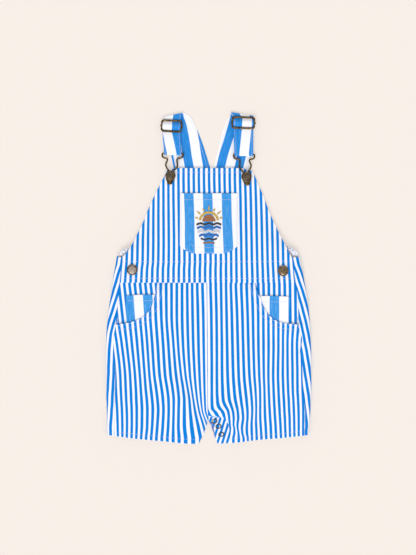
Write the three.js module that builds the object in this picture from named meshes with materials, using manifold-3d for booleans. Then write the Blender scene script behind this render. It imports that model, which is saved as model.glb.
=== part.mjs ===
// Kids bib overalls, laid flat on a surface with the front side up.
// Millimetres, +Z up, +Y towards the shoulders. The origin is the middle of the underside.
// Left and right are those of someone who looks down at the garment.
import * as THREE from "three";
import { mergeVertices } from "three/addons/utils/BufferGeometryUtils.js";
import Module from "manifold-3d";

// Cloth and layers
const clothWall = 1.0;
const seamGap = 0.3;
const layerStep = clothWall + seamGap;
const onFloorZ = clothWall / 2; // middle of a cloth that lies on the surface
const onBackZ = layerStep + clothWall / 2; // and of one that lies on the back
const hipHeight = 8.6; // surface to the top of the front, where front and back lie apart
const frontUnder = hipHeight - clothWall; // underside of the front layer
const bibUnderWaist = hipHeight + seamGap; // the bib laps over the tops of the legs
const bibUnderTop = 2 * layerStep; // at its top the bib lies on the strap ends and the back
const bibRiseFrom = 34; // the bib comes down from waist height between these two heights
const bibRiseTo = 130;
const waistSeamY = -7.1;
const legTopY = -4.0; // the legs reach a little under the bib
const pocketFootY = -65.7; // where the pocket mouths meet the side seams
const mouthTopY = -12; // above it the facings are sewn beside the legs, not tucked under them
const facingTuck = { down: 8, in: 6 }; // how far the facing goes on under the pocket mouth
const coinTuck = { down: 4, in: 3 };
const facingLift = { level: 10, slope: 20 }; // distances from the mouth over which a leg is raised
const coinLift = { level: 8, slope: 18, topSlope: 6.8, sideX: 129, sideSlope: 8 };
const underlapReach = 22; // the back goes on under the bib for the side button
const underlapFromY = -3.4;
const flapTopY = 30.4;
const flapTopDrop = 3.7; // the flap's top edge falls towards the bib
const crotchY = -200.2;
const inseamRoll = 14; // width over which a leg comes down to its inseam
const inseamSetBack = 0.4; // the back's inseam edge lies a little inside the front's
const placketFoldTopY = -194;
const placketFoldEase = 9; // the leg dips a millimetre along its fold over the placket
const placketRoll = 10;
const placketHeight = 3.9;
const creaseFade = 1.6; // a crease fades out this many half widths from its line
const creaseFree = { seam: 10, pocket: 28 }; // creases are full at these distances from edges
const bibDroop = { share: 0.6, fromSide: 26, fromRise: 26 }; // the bib's curved sides hang lower

// Hardware
const wireRadius = 0.9;
const sliderHalfWidth = 14.1; // middle of the wire
const sliderHalfHeight = 7.6;
const sliderCorner = 2.4;
const sliderRise = 1.6; // the frame's long wires stand above the centre bar
const sliderStraight = 2.6; // the short wires run straight this far either side of the bar
const sliderSplit = 0.15; // half of the gap between the wire's two ends
const barZ = 3.5; // centre bars of slider and buckle
const barRadius = 0.8;
const knobRadius = 1.3;
const knobLength = 2.6;
const knobOffset = 0.5;
const buckleBar = 31.5; // button centre to the buckle's bar
const buckleOverBibZ = bibUnderTop + clothWall + seamGap + wireRadius;
const buttonRadius = 7.2;
const shankRadius = 1.6;
const bibShank = 2.1;
const sideShank = 0.8;
const ringRadius = 3.4;
const ringWire = 0.75;
const ringLift = 0.5; // below the ring, for the slope of the cloth across its width

// Straps
const strapHalfWidth = 12.7;
const loopHalfWidth = 12.4;
const returnHalfWidth = 12;
const rollRadius = 1.45; // middle of the cloth, where the strap rolls over at the shoulder
const loopRadius = 1.7; // middle of the cloth, round a wire
const strapUnderWireZ = barZ + sliderRise - wireRadius - seamGap - clothWall / 2;
const backTopY = 146.6;

// Edges are tables of a height and the place of the edge there. Rows is the list of heights
// that the pieces along one side seam share, so that their edges run side by side.
const left = {
  name: "left",
  out: -1,
  rows: [-228, -222, -214, -206, -200, -194, -184, -172, -159, -146, -133, -120, -107, -95, -84, -74, -69],
  mouthRows: [pocketFootY, -63.8, -61.6, -58.1, -51, -41.2, -29.5, -20.6, mouthTopY, waistSeamY, legTopY],
  fold: [
    { y: -220, x: -142.4 },
    { y: -185, x: -143.4 },
    { y: -146, x: -143.9 },
    { y: -80, x: -143.8 },
    { y: -44, x: -140.1 },
    { y: 2, x: -133.4 },
    { y: 30, x: -128.9 },
  ],
  sideSeam: [
    { y: -222, x: -132.2 },
    { y: -156, x: -131.2 },
    { y: -126, x: -130.6 },
    { y: -107, x: -132.2 },
    { y: -87, x: -133.1 },
    { y: pocketFootY, x: -130.3 },
    { y: -45, x: -128.1 },
    { y: -11, x: -125 },
    { y: 27, x: -121.4 },
  ],
  pocketMouth: [
    { y: pocketFootY, x: -130.3 },
    { y: -63.8, x: -116.1 },
    { y: -61.6, x: -107.1 },
    { y: -58.1, x: -98.1 },
    { y: -51, x: -87.5 },
    { y: -41.2, x: -80.4 },
    { y: -29.5, x: -76.7 },
    { y: -20.6, x: -73.6 },
    { y: waistSeamY, x: -72.2 },
    { y: legTopY, x: -72.1 },
  ],
  coinEdge: [
    { y: -66, x: -114.7 },
    { y: -24.2, x: -116.1 },
  ],
  inseam: [
    { y: -232.8, x: -14 },
    { y: -228.6, x: -12.3 },
    { y: -221.6, x: -8.3 },
    { y: -212.9, x: -5.3 },
    { y: -203.1, x: -2 },
    { y: crotchY, x: -0.8 },
  ],
  hem: [
    { x: -143, y: -219.8 },
    { x: -107.5, y: -224.7 },
    { x: -57.4, y: -229.7 },
    { x: -30.9, y: -232.1 },
    { x: -14, y: -232.8 },
  ],
  armhole: [
    { y: 38.4, x: -117.9 },
    { y: 46, x: -104 },
    { y: 58, x: -92 },
    { y: 75, x: -80 },
    { y: 100, x: -68 },
    { y: 125, x: -58 },
    { y: backTopY, x: -52 },
  ],
  folds: [
    { x0: -38, y0: -136, x1: -6, y1: -190, halfWidth: 9, height: -1.1 },
    { x0: -34, y0: -172, x1: -24, y1: -232, halfWidth: 10, height: 1.2 },
    { x0: -96, y0: -86, x1: -54, y1: -160, halfWidth: 16, height: 0.9 },
    { x0: -72, y0: -150, x1: -60, y1: -232, halfWidth: 10, height: -0.9 },
    { x0: -104, y0: -150, x1: -98, y1: -226, halfWidth: 12, height: 0.6 },
  ],
  backRun: [
    { y: 138.5, left: -46.5, right: 2.6, z: onBackZ },
    { y: 150, left: -48.7, right: 2.8, z: onBackZ },
    { y: 158, left: -50.2, right: 0.7, z: onFloorZ },
    { y: 172, left: -52.9, right: -2.7, z: onFloorZ },
    { y: 190, left: -56.3, right: -7.1, z: onFloorZ },
    { y: 209.6, left: -60, right: -17.9, z: onFloorZ },
    { y: 219, left: -61.6, right: -23.6, z: onFloorZ },
  ],
  roll: { left: { x: -63.1, y: 226.2 }, right: { x: -38.5, y: 231.6 } },
  slider: { x: -52.3, y: 212.4, turn: -3 },
  bibButton: { x: -53.8, y: 142.7 },
  buckleTurn: -5.4,
  sideButton: { x: -107.1, y: 10.8 },
};
const right = {
  name: "right",
  out: 1,
  rows: [
    -228, -220, -210.3, -202.6, -198.2, -193.9, -191.2, -184, -172, -159, -146, -133,
    -120, -107, -95, -84, -74, -69,
  ],
  mouthRows: [pocketFootY, -63.8, -61.6, -56.3, -50, -40.2, -27.7, -18.8, mouthTopY, waistSeamY, legTopY],
  fold: [
    { y: -220, x: 139.7 },
    { y: -200, x: 142.1 },
    { y: -136, x: 143.8 },
    { y: -117, x: 143.6 },
    { y: -80, x: 142.7 },
    { y: -30, x: 138.2 },
    { y: -1, x: 133.3 },
    { y: 30, x: 127 },
  ],
  sideSeam: [
    { y: -221, x: 133.8 },
    { y: -195, x: 134.7 },
    { y: -146, x: 131.3 },
    { y: -119, x: 130.3 },
    { y: -103, x: 127.4 },
    { y: -87, x: 130.3 },
    { y: pocketFootY, x: 125.2 },
    { y: -34, x: 125.2 },
    { y: -7, x: 121.2 },
    { y: 26, x: 115.9 },
  ],
  pocketMouth: [
    { y: pocketFootY, x: 125.2 },
    { y: -63.8, x: 108.2 },
    { y: -61.6, x: 97.6 },
    { y: -56.3, x: 88.6 },
    { y: -50, x: 82.3 },
    { y: -40.2, x: 76.2 },
    { y: -27.7, x: 71.7 },
    { y: -18.8, x: 68 },
    { y: waistSeamY, x: 65.8 },
    { y: legTopY, x: 65.7 },
  ],
  coinEdge: [
    { y: -66, x: 111.5 },
    { y: -26, x: 113.5 },
  ],
  inseam: [
    { y: -232.8, x: 12.5 },
    { y: -224.7, x: 9 },
    { y: -216, x: 6 },
    { y: -201.6, x: 0.3 },
    { y: crotchY, x: -0.4 },
  ],
  hem: [
    { x: 12, y: -232.8 },
    { x: 34.4, y: -231.1 },
    { x: 68, y: -227.2 },
    { x: 108.2, y: -223.7 },
    { x: 140, y: -220.1 },
  ],
  armhole: [
    { y: 43.7, x: 111.9 },
    { y: 52, x: 99 },
    { y: 64, x: 88 },
    { y: 80, x: 78 },
    { y: 100, x: 70 },
    { y: 125, x: 63 },
    { y: backTopY, x: 59 },
  ],
  folds: [
    { x0: 36, y0: -188, x1: 46, y1: -231, halfWidth: 9, height: 1.1 },
    { x0: 60, y0: -130, x1: 74, y1: -215, halfWidth: 10, height: -1.0 },
    { x0: 16, y0: -120, x1: 34, y1: -180, halfWidth: 12, height: -0.7 },
    { x0: 92, y0: -100, x1: 100, y1: -224, halfWidth: 13, height: 0.8 },
  ],
  backRun: [
    { y: 138.5, left: 4.2, right: 55.4, z: onBackZ },
    { y: 150, left: 5.8, right: 56.4, z: onBackZ },
    { y: 158, left: 7.5, right: 57, z: onFloorZ },
    { y: 172, left: 10.7, right: 58.2, z: onFloorZ },
    { y: 190, left: 15.2, right: 59.6, z: onFloorZ },
    { y: 209.6, left: 20.4, right: 61.2, z: onFloorZ },
    { y: 220, left: 24.6, right: 62, z: onFloorZ },
  ],
  roll: { left: { x: 31, y: 232.5 }, right: { x: 62.7, y: 227 } },
  slider: { x: 48.4, y: 217, turn: -2 },
  bibButton: { x: 52.8, y: 141.3 },
  buckleTurn: 5.3,
  sideButton: { x: 103.7, y: 9.4 },
};
const centreSeam = [
  { y: crotchY, x: -0.6 },
  { y: -184, x: -1.6 },
  { y: -120, x: -1.9 },
  { y: 0, x: -2.4 },
];
const backSeam = [
  { y: crotchY, x: -0.6 },
  { y: backTopY, x: 3.6 },
];
const placketFold = [
  { y: -232.8, x: 30.2 },
  { y: -213, x: 28.8 },
  { y: -205, x: 27.3 },
  { y: -200.6, x: 23.8 },
  { y: -196.5, x: 13.4 },
  { y: placketFoldTopY, x: -1.3 },
];
const placketTuck = 4; // the placket goes on under the leg
const placketTuckTopY = -197; // above it the placket's hidden edge keeps its place
const placketRows = [-228, -222, -216, -210, -205, -200.6, placketTuckTopY, -190];
const snapPlaces = [
  { x: 8.6, y: -202.2 },
  { x: 13.6, y: -208.6 },
  { x: 17.5, y: -219.5 },
];
const bibEdges = [
  { y: waistSeamY, left: -124.6, right: 121.2 },
  { y: 9, left: -123.1, right: 118.8 },
  { y: 26.5, left: -121.4, right: 116.2 },
  { y: 36, left: -114, right: 111.7 },
  { y: 48, left: -106.7, right: 105.8 },
  { y: 62, left: -99.7, right: 98.7 },
  { y: 76, left: -92.8, right: 91.8 },
  { y: 95, left: -85.2, right: 83.6 },
  { y: 115, left: -76.2, right: 76.2 },
  { y: 133, left: -67.3, right: 68.2 },
  { y: 143, left: -62.4, right: 64.3 },
  { y: 150.5, left: -61.2, right: 59.6 },
];
const bibTop = { cornerY: 150.5, middleY: 153.8, cornerLength: 18 };
const bibPocket = { top: 118.2, bottom: 33.6, halfWidth: 40.4, roundFrom: 19, cornerRise: 11 };
const buckleHalf = [
  { across: 2.9, up: -8.5 },
  { across: 2.9, up: -2 },
  { across: 2.9, up: 4.5 },
  { across: 4.1, up: 8 },
  { across: 7, up: 11.5 },
  { across: 8.2, up: 15.5 },
  { across: 7.2, up: 19.5 },
  { across: 6.6, up: 23 },
  { across: 8.2, up: 25.8 },
  { across: 11.6, up: 26.8 },
  { across: 14, up: 28.2 },
  { across: 14.6, up: 30.2 },
  { across: 13.4, up: buckleBar },
  { across: 7, up: buckleBar },
];
const buckleTipUp = -11.4;

const hemReference = -228; // a row at this height follows the hem's own line
const hemEffectTop = -150;

const narrowStripe = { color: 0x74b2ec, roughness: 0.9, metalness: 0 };
const wideStripe = { color: 0xa6cdf1, roughness: 0.9, metalness: 0 };
const agedBrass = { color: 0x6b5528, roughness: 0.45, metalness: 0.9 };

const wasm = await Module();
wasm.setup();

const limit = THREE.MathUtils.clamp;
const ease = (t) => THREE.MathUtils.smoothstep(t, 0, 1);

// The value of a column in straight stretches between the rows of a table.
function along(table, key, column, at) {
  const rows = [...table].sort((a, b) => a[key] - b[key]);
  if (at <= rows[0][key]) return rows[0][column];
  for (let i = 1; i < rows.length; i++) {
    const low = rows[i - 1];
    const high = rows[i];
    if (at <= high[key]) {
      return THREE.MathUtils.mapLinear(at, low[key], high[key], low[column], high[column]);
    }
  }
  return rows.at(-1)[column];
}
const edgeAt = (table, y) => along(table, "y", "x", y);

function distanceTo(line, x, y) {
  let nearest = Infinity;
  for (let i = 1; i < line.length; i++) {
    const a = line[i - 1];
    const dx = line[i].x - a.x;
    const dy = line[i].y - a.y;
    const t = limit(((x - a.x) * dx + (y - a.y) * dy) / (dx * dx + dy * dy), 0, 1);
    nearest = Math.min(nearest, Math.hypot(x - a.x - t * dx, y - a.y - t * dy));
  }
  return nearest;
}

function meshOf(name, geometry, finish) {
  const mesh = new THREE.Mesh(geometry, new THREE.MeshStandardMaterial(finish));
  mesh.name = name;
  return mesh;
}

// A closed wall from a grid: pointAt gives its outer and inner point, isCloth the cells it has.
function clothMesh(name, rowCount, columnCount, pointAt, finish, isCloth = () => true) {
  const grid = [];
  for (let i = 0; i < rowCount; i++) {
    grid.push([]);
    for (let j = 0; j < columnCount; j++) grid[i].push(pointAt(i, j));
  }
  const has = (i, j) => i >= 0 && j >= 0 && i < rowCount - 1 && j < columnCount - 1 && isCloth(i, j);
  const corners = [];
  const quad = (a, b, c, d) => corners.push(a, b, c, a, c, d);
  for (let i = 0; i < rowCount - 1; i++) {
    for (let j = 0; j < columnCount - 1; j++) {
      if (!has(i, j)) continue;
      const round = [grid[i][j], grid[i][j + 1], grid[i + 1][j + 1], grid[i + 1][j]];
      quad(...round.map((p) => p.outer));
      quad(round[0].inner, round[3].inner, round[2].inner, round[1].inner);
      const beyond = [has(i - 1, j), has(i, j + 1), has(i + 1, j), has(i, j - 1)];
      beyond.forEach((goesOn, k) => {
        const from = round[k];
        const to = round[(k + 1) % 4];
        if (!goesOn) quad(to.outer, from.outer, from.inner, to.inner);
      });
    }
  }
  let volume = 0;
  for (let k = 0; k < corners.length; k += 3) {
    volume += corners[k].dot(new THREE.Vector3().crossVectors(corners[k + 1], corners[k + 2]));
  }
  if (volume < 0) corners.reverse();
  const geometry = new THREE.BufferGeometry().setFromPoints(corners);
  geometry.computeVertexNormals();
  return meshOf(name, geometry, finish);
}

// A wall whose underside is at a height worked out from the place in plan.
function layer(x, y, under) {
  return {
    inner: new THREE.Vector3(x, y, under),
    outer: new THREE.Vector3(x, y, under + clothWall),
  };
}

// The row's height at a place: rows near the hem run along the hem.
function rowY(side, y0, x) {
  const share = limit((hemEffectTop - y0) / (hemEffectTop - hemReference), 0, 1);
  return y0 + (along(side.hem, "x", "y", x) - hemReference) * share;
}

const sideEdge = (side, y) => edgeAt(side.sideSeam, y) - (side.out * seamGap) / 2;

// Where the leg's inner edge runs: the centre seam, then the inseam or the placket's fold.
function legInnerEdge(side, y) {
  if (side === right && y < placketFoldTopY) return edgeAt(placketFold, y);
  if (side === left && y < crotchY) return edgeAt(side.inseam, y);
  return edgeAt(centreSeam, y) + (side.out * seamGap) / 2;
}

function foldHeight(side, x, y) {
  let height = 0;
  for (const fold of side.folds) {
    const line = [
      { x: fold.x0, y: fold.y0 },
      { x: fold.x1, y: fold.y1 },
    ];
    const off = distanceTo(line, x, y) / fold.halfWidth;
    height += fold.height * (1 - ease(off / creaseFade));
  }
  const fromSeams = Math.min(Math.abs(x - sideEdge(side, y)), Math.abs(x - edgeAt(centreSeam, y)));
  const fromPocket = distanceTo(side.pocketMouth, x, y);
  return height * ease(fromSeams / creaseFree.seam) * ease(fromPocket / creaseFree.pocket);
}

// Underside of a front leg: it lies over the facing and coin pocket round the pocket mouth,
// and comes down to the back at the inseam.
function legUnder(side, x, y) {
  const fromMouth = distanceTo(side.pocketMouth, x, y);
  const fromFacing = 1 - ease((fromMouth - facingLift.level) / facingLift.slope);
  const overFacing = fromFacing * ease((waistSeamY - y) / (waistSeamY - mouthTopY));
  const fromCoin = 1 - ease((fromMouth - coinLift.level) / coinLift.slope);
  const overCoin = fromCoin * ease((mouthTopY - y) / coinLift.topSlope);
  const coinReach = ease((coinLift.sideX - Math.abs(x)) / coinLift.sideSlope);
  let z = frontUnder + layerStep * (overFacing + overCoin * coinReach) + foldHeight(side, x, y);
  if (side === right) z -= 1 - ease(distanceTo(placketFold, x, y) / placketFoldEase);
  const crotch = side === right ? [side.inseam.at(-2), side.inseam.at(-1)] : side.inseam;
  const roll = Math.sin((limit(distanceTo(crotch, x, y) / inseamRoll, 0, 1) * Math.PI) / 2);
  const lowest = side === right ? 2 * layerStep : layerStep;
  return lowest + (z - lowest) * roll;
}

function frontLeg(side) {
  const rows = [...side.rows, ...side.mouthRows];
  const columns = 12;
  return clothMesh(
    "front_leg_" + side.name,
    rows.length,
    columns,
    (i, j) => {
      const y0 = rows[i];
      const innerY = rowY(side, y0, legInnerEdge(side, y0));
      const inner = legInnerEdge(side, innerY);
      const atMouth = y0 > pocketFootY;
      const outer = atMouth ? edgeAt(side.pocketMouth, y0) : sideEdge(side, y0);
      const x = THREE.MathUtils.lerp(inner, outer, j / (columns - 1));
      const y = rowY(side, y0, x);
      return layer(x, y, legUnder(side, x, y));
    },
    narrowStripe,
  );
}

function pocketFacing(side) {
  const rows = [-74, -69, ...side.mouthRows];
  const columns = 6;
  return clothMesh(
    "pocket_facing_" + side.name,
    rows.length,
    columns,
    (i, j) => {
      const y = rows[i];
      const tucked = edgeAt(side.pocketMouth, y + facingTuck.down) - side.out * facingTuck.in;
      const flush = edgeAt(side.pocketMouth, y) + side.out * seamGap;
      const inner = y < mouthTopY ? tucked : flush;
      const x = THREE.MathUtils.lerp(sideEdge(side, y), inner, j / (columns - 1));
      return layer(x, y, frontUnder);
    },
    narrowStripe,
  );
}

function coinPocket(side) {
  const top = side.coinEdge[1].y;
  const rows = [-66, -63.8, -61.6, -58.1, -51, -41.2, -32, top];
  const columns = 5;
  return clothMesh(
    "coin_pocket_" + side.name,
    rows.length,
    columns,
    (i, j) => {
      const y = rows[i];
      const inner = edgeAt(side.pocketMouth, y + coinTuck.down) - side.out * coinTuck.in;
      const x = THREE.MathUtils.lerp(edgeAt(side.coinEdge, y), inner, j / (columns - 1));
      return layer(x, y, frontUnder + layerStep);
    },
    wideStripe,
  );
}

// The turned inseam edge of the right leg, which lies open under the leg's fold.
function placketUnder(x, y) {
  const roll = Math.sin((limit(distanceTo(right.inseam, x, y) / placketRoll, 0, 1) * Math.PI) / 2);
  const underLeg = legUnder(right, x, y) - layerStep;
  return Math.max(layerStep, Math.min(layerStep + placketHeight * roll, underLeg));
}

function inseamPlacket() {
  const columns = 6;
  return clothMesh(
    "inseam_placket",
    placketRows.length,
    columns,
    (i, j) => {
      const y0 = placketRows[i];
      const inner = edgeAt(right.inseam, rowY(right, y0, edgeAt(right.inseam, y0)));
      const outer = edgeAt(placketFold, Math.min(y0, placketTuckTopY)) + placketTuck;
      const x = THREE.MathUtils.lerp(inner, outer, j / (columns - 1));
      const y = rowY(right, y0, x);
      return layer(x, y, placketUnder(x, y));
    },
    narrowStripe,
  );
}

// A back half: flat on the surface, rolled up round the side fold to the front side seam, and
// on under the bib. Above the flap it narrows along the armhole to its top.
function backHalf(side) {
  const lapRows = [underlapFromY, 6, 16];
  const rows = [...side.rows, ...side.mouthRows, ...lapRows, flapTopY, ...side.armhole.map((p) => p.y)];
  const lapFrom = rows.indexOf(underlapFromY);
  const flapTop = rows.indexOf(flapTopY);
  const flatColumns = 4;
  const rollColumns = 5;
  const seamColumn = flatColumns + rollColumns;
  const lapColumns = 2;
  const radius = hipHeight / 2;
  const pointAt = (i, j) => {
    const y0 = rows[i];
    const innerY = rowY(side, y0, edgeAt(side.inseam, y0));
    const inner =
      innerY < crotchY
        ? edgeAt(side.inseam, innerY) + side.out * inseamSetBack
        : edgeAt(backSeam, y0) + (side.out * seamGap) / 2;
    const foldX = edgeAt(side.fold, y0);
    const rollX = foldX - side.out * radius;
    const seamX = edgeAt(side.sideSeam, y0) + (side.out * seamGap) / 2;
    if (j <= flatColumns) {
      const outer = i > flapTop ? edgeAt(side.armhole, y0) : rollX;
      const x = THREE.MathUtils.lerp(inner, outer, j / flatColumns);
      const y = rowY(side, y0, x);
      return { outer: new THREE.Vector3(x, y, 0), inner: new THREE.Vector3(x, y, clothWall) };
    }
    if (j <= seamColumn - 1) {
      const angle = ((j - flatColumns) / (rollColumns - 1)) * Math.PI;
      const drop = i === flapTop ? flapTopDrop * limit(angle / Math.PI - 0.5, 0, 1) : 0;
      const point = (r) => {
        const x = rollX + side.out * r * Math.sin(angle);
        return new THREE.Vector3(x, rowY(side, y0, x) - drop, radius - r * Math.cos(angle));
      };
      return { outer: point(radius), inner: point(radius - clothWall) };
    }
    const lap = (j - seamColumn) / lapColumns;
    const x = seamX - side.out * underlapReach * lap;
    const y = rowY(side, y0, x) - (i === flapTop ? flapTopDrop : 0);
    return layer(x, y, frontUnder);
  };
  const isCloth = (i, j) => {
    if (j >= seamColumn) return i >= lapFrom && i < flapTop;
    return j < flatColumns || i < flapTop;
  };
  const columns = seamColumn + lapColumns + 1;
  return clothMesh("back_" + side.name, rows.length, columns, pointAt, narrowStripe, isCloth);
}

// Underside of the bib: level over the waist, then down onto the back and the strap ends, and
// lower along its curved sides.
function bibUnder(x, y) {
  const down = ease((y - bibRiseFrom) / (bibRiseTo - bibRiseFrom));
  const level = THREE.MathUtils.lerp(bibUnderWaist, bibUnderTop, down);
  const fromSide = Math.min(
    x - along(bibEdges, "y", "left", y),
    along(bibEdges, "y", "right", y) - x,
  );
  const nearSide = 1 - ease(fromSide / bibDroop.fromSide);
  const droop = bibDroop.share * nearSide * ease((y - bibRiseFrom) / bibDroop.fromRise);
  return bibUnderTop + (level - bibUnderTop) * (1 - droop);
}

function frontBib() {
  const rows = bibEdges.map((row) => row.y);
  const columns = 13;
  return clothMesh(
    "front_bib",
    rows.length,
    columns,
    (i, j) => {
      const edges = bibEdges[i];
      const x = THREE.MathUtils.lerp(edges.left, edges.right, j / (columns - 1));
      const fromCorner = Math.min(x - edges.left, edges.right - x) / bibTop.cornerLength;
      const isTop = i === rows.length - 1;
      const y = isTop ? THREE.MathUtils.lerp(bibTop.cornerY, bibTop.middleY, ease(fromCorner)) : edges.y;
      return layer(x, y, bibUnder(x, y));
    },
    narrowStripe,
  );
}

function chestPocket() {
  const rows = 9;
  const columns = 9;
  const roundLength = bibPocket.halfWidth - bibPocket.roundFrom;
  return clothMesh(
    "bib_pocket",
    rows,
    columns,
    (i, j) => {
      const x = THREE.MathUtils.lerp(-bibPocket.halfWidth, bibPocket.halfWidth, j / (columns - 1));
      const round = limit((Math.abs(x) - bibPocket.roundFrom) / roundLength, 0, 1);
      const low = bibPocket.bottom + bibPocket.cornerRise * round * round;
      const y = THREE.MathUtils.lerp(low, bibPocket.top, i / (rows - 1));
      return layer(x, y, bibUnder(x, y) + layerStep);
    },
    wideStripe,
  );
}

// A place in a frame that is turned in plan: across and up from its centre.
function placed(centre, turn, across, up, z) {
  const angle = THREE.MathUtils.degToRad(turn);
  const x = centre.x + across * Math.cos(angle) - up * Math.sin(angle);
  const y = centre.y + across * Math.sin(angle) + up * Math.cos(angle);
  return new THREE.Vector3(x, y, z);
}

// The middle of the strap's cloth as pairs of left and right edge points, from the end sewn on
// the back to the end hooked round the slider's centre bar.
function strapStations(side) {
  const stations = side.backRun.map((row) => ({
    left: new THREE.Vector3(row.left, row.y, row.z),
    right: new THREE.Vector3(row.right, row.y, row.z),
  }));
  const rollLeft = new THREE.Vector3(side.roll.left.x, side.roll.left.y, onFloorZ);
  const rollRight = new THREE.Vector3(side.roll.right.x, side.roll.right.y, onFloorZ);
  const crease = rollRight.clone().sub(rollLeft).normalize();
  const away = new THREE.Vector3(-crease.y, crease.x, 0);
  const setBack = away.clone().multiplyScalar(-(rollRadius + clothWall / 2));
  const rollSteps = 6;
  for (let k = 0; k <= rollSteps; k++) {
    const angle = (k / rollSteps) * Math.PI;
    const shift = setBack.clone().addScaledVector(away, rollRadius * Math.sin(angle));
    shift.z = rollRadius * (1 - Math.cos(angle));
    stations.push({ left: rollLeft.clone().add(shift), right: rollRight.clone().add(shift) });
  }
  const across = (centre, turn, halfWidth, up, z) => ({
    left: placed(centre, turn, -halfWidth, up, z),
    right: placed(centre, turn, halfWidth, up, z),
  });
  const { slider, buckleTurn } = side;
  const overBarZ = barZ + loopRadius + clothWall + seamGap;
  const windowSteps = 8;
  for (let k = 0; k <= windowSteps; k++) {
    const up = sliderHalfHeight * (1 - (2 * k) / windowSteps);
    const rise = (1 + Math.cos((Math.PI * up) / sliderHalfHeight)) / 2;
    const z = THREE.MathUtils.lerp(strapUnderWireZ, overBarZ, rise);
    stations.push(across(slider, slider.turn, strapHalfWidth, up, z));
  }
  const bar = placed(side.bibButton, buckleTurn, 0, buckleBar, barZ);
  const runSteps = 5;
  const run = (from, to, fromHalf, toHalf) => {
    for (let k = 1; k < runSteps; k++) {
      const t = k / runSteps;
      const centre = new THREE.Vector3().lerpVectors(from.at, to.at, t);
      const turn = THREE.MathUtils.lerp(from.turn, to.turn, t);
      const half = THREE.MathUtils.lerp(fromHalf, toHalf, t);
      stations.push(across(centre, turn, half, 0, centre.z));
    }
  };
  const sliderFoot = placed(slider, slider.turn, 0, -sliderHalfHeight, strapUnderWireZ);
  const sliderBar = new THREE.Vector3(slider.x, slider.y, barZ - loopRadius);
  const loopTop = bar.clone().setZ(barZ + loopRadius);
  const loopFoot = bar.clone().setZ(barZ - loopRadius);
  run(
    { at: sliderFoot, turn: slider.turn },
    { at: loopTop, turn: buckleTurn },
    strapHalfWidth,
    loopHalfWidth,
  );
  const loopSteps = 6;
  for (let k = 0; k <= loopSteps; k++) {
    const angle = (k / loopSteps) * Math.PI;
    const z = barZ + loopRadius * Math.cos(angle);
    const half = THREE.MathUtils.lerp(loopHalfWidth, returnHalfWidth, k / loopSteps);
    stations.push(across(bar, buckleTurn, half, -loopRadius * Math.sin(angle), z));
  }
  run(
    { at: loopFoot, turn: buckleTurn },
    { at: sliderBar, turn: slider.turn },
    returnHalfWidth,
    returnHalfWidth,
  );
  const hookSteps = 7;
  const hookTurn = 1.36 * Math.PI;
  for (let k = 0; k <= hookSteps; k++) {
    const angle = (k / hookSteps) * hookTurn;
    const z = barZ - loopRadius * Math.cos(angle);
    stations.push(across(slider, slider.turn, returnHalfWidth, loopRadius * Math.sin(angle), z));
  }
  return stations;
}

function strap(side) {
  const stations = strapStations(side);
  const columns = 3;
  const middle = (i, j) => {
    const { left: a, right: b } = stations[limit(i, 0, stations.length - 1)];
    return new THREE.Vector3().lerpVectors(a, b, j / (columns - 1));
  };
  return clothMesh(
    "strap_" + side.name,
    stations.length,
    columns,
    (i, j) => {
      const onward = middle(i + 1, j).sub(middle(i - 1, j));
      const across = stations[i].right.clone().sub(stations[i].left);
      const normal = new THREE.Vector3().crossVectors(across, onward).normalize();
      const point = middle(i, j);
      return {
        outer: point.clone().addScaledVector(normal, clothWall / 2),
        inner: point.clone().addScaledVector(normal, -clothWall / 2),
      };
    },
    wideStripe,
  );
}

function wireGeometry(points, steps) {
  const section = new THREE.Shape();
  const sides = 6;
  for (let k = 0; k < sides; k++) {
    const angle = (k / sides) * 2 * Math.PI;
    const x = wireRadius * Math.cos(angle);
    const y = wireRadius * Math.sin(angle);
    if (k === 0) section.moveTo(x, y);
    else section.lineTo(x, y);
  }
  const path = new THREE.CatmullRomCurve3(points, false, "centripetal");
  return new THREE.ExtrudeGeometry(section, { steps, extrudePath: path, bevelEnabled: false });
}

function solidOf(geometry) {
  const bare = geometry.clone();
  bare.deleteAttribute("normal");
  bare.deleteAttribute("uv");
  const merged = mergeVertices(bare, 1e-4);
  return new wasm.Manifold(
    new wasm.Mesh({
      numProp: 3,
      vertProperties: merged.attributes.position.array,
      triVerts: new Uint32Array(merged.index.array),
    }),
  );
}

function geometryOf(solid) {
  const { vertProperties, triVerts } = solid.getMesh();
  const geometry = new THREE.BufferGeometry();
  geometry.setAttribute("position", new THREE.BufferAttribute(new Float32Array(vertProperties), 3));
  geometry.setIndex(new THREE.BufferAttribute(new Uint32Array(triVerts), 1));
  geometry.computeVertexNormals();
  return geometry;
}

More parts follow.
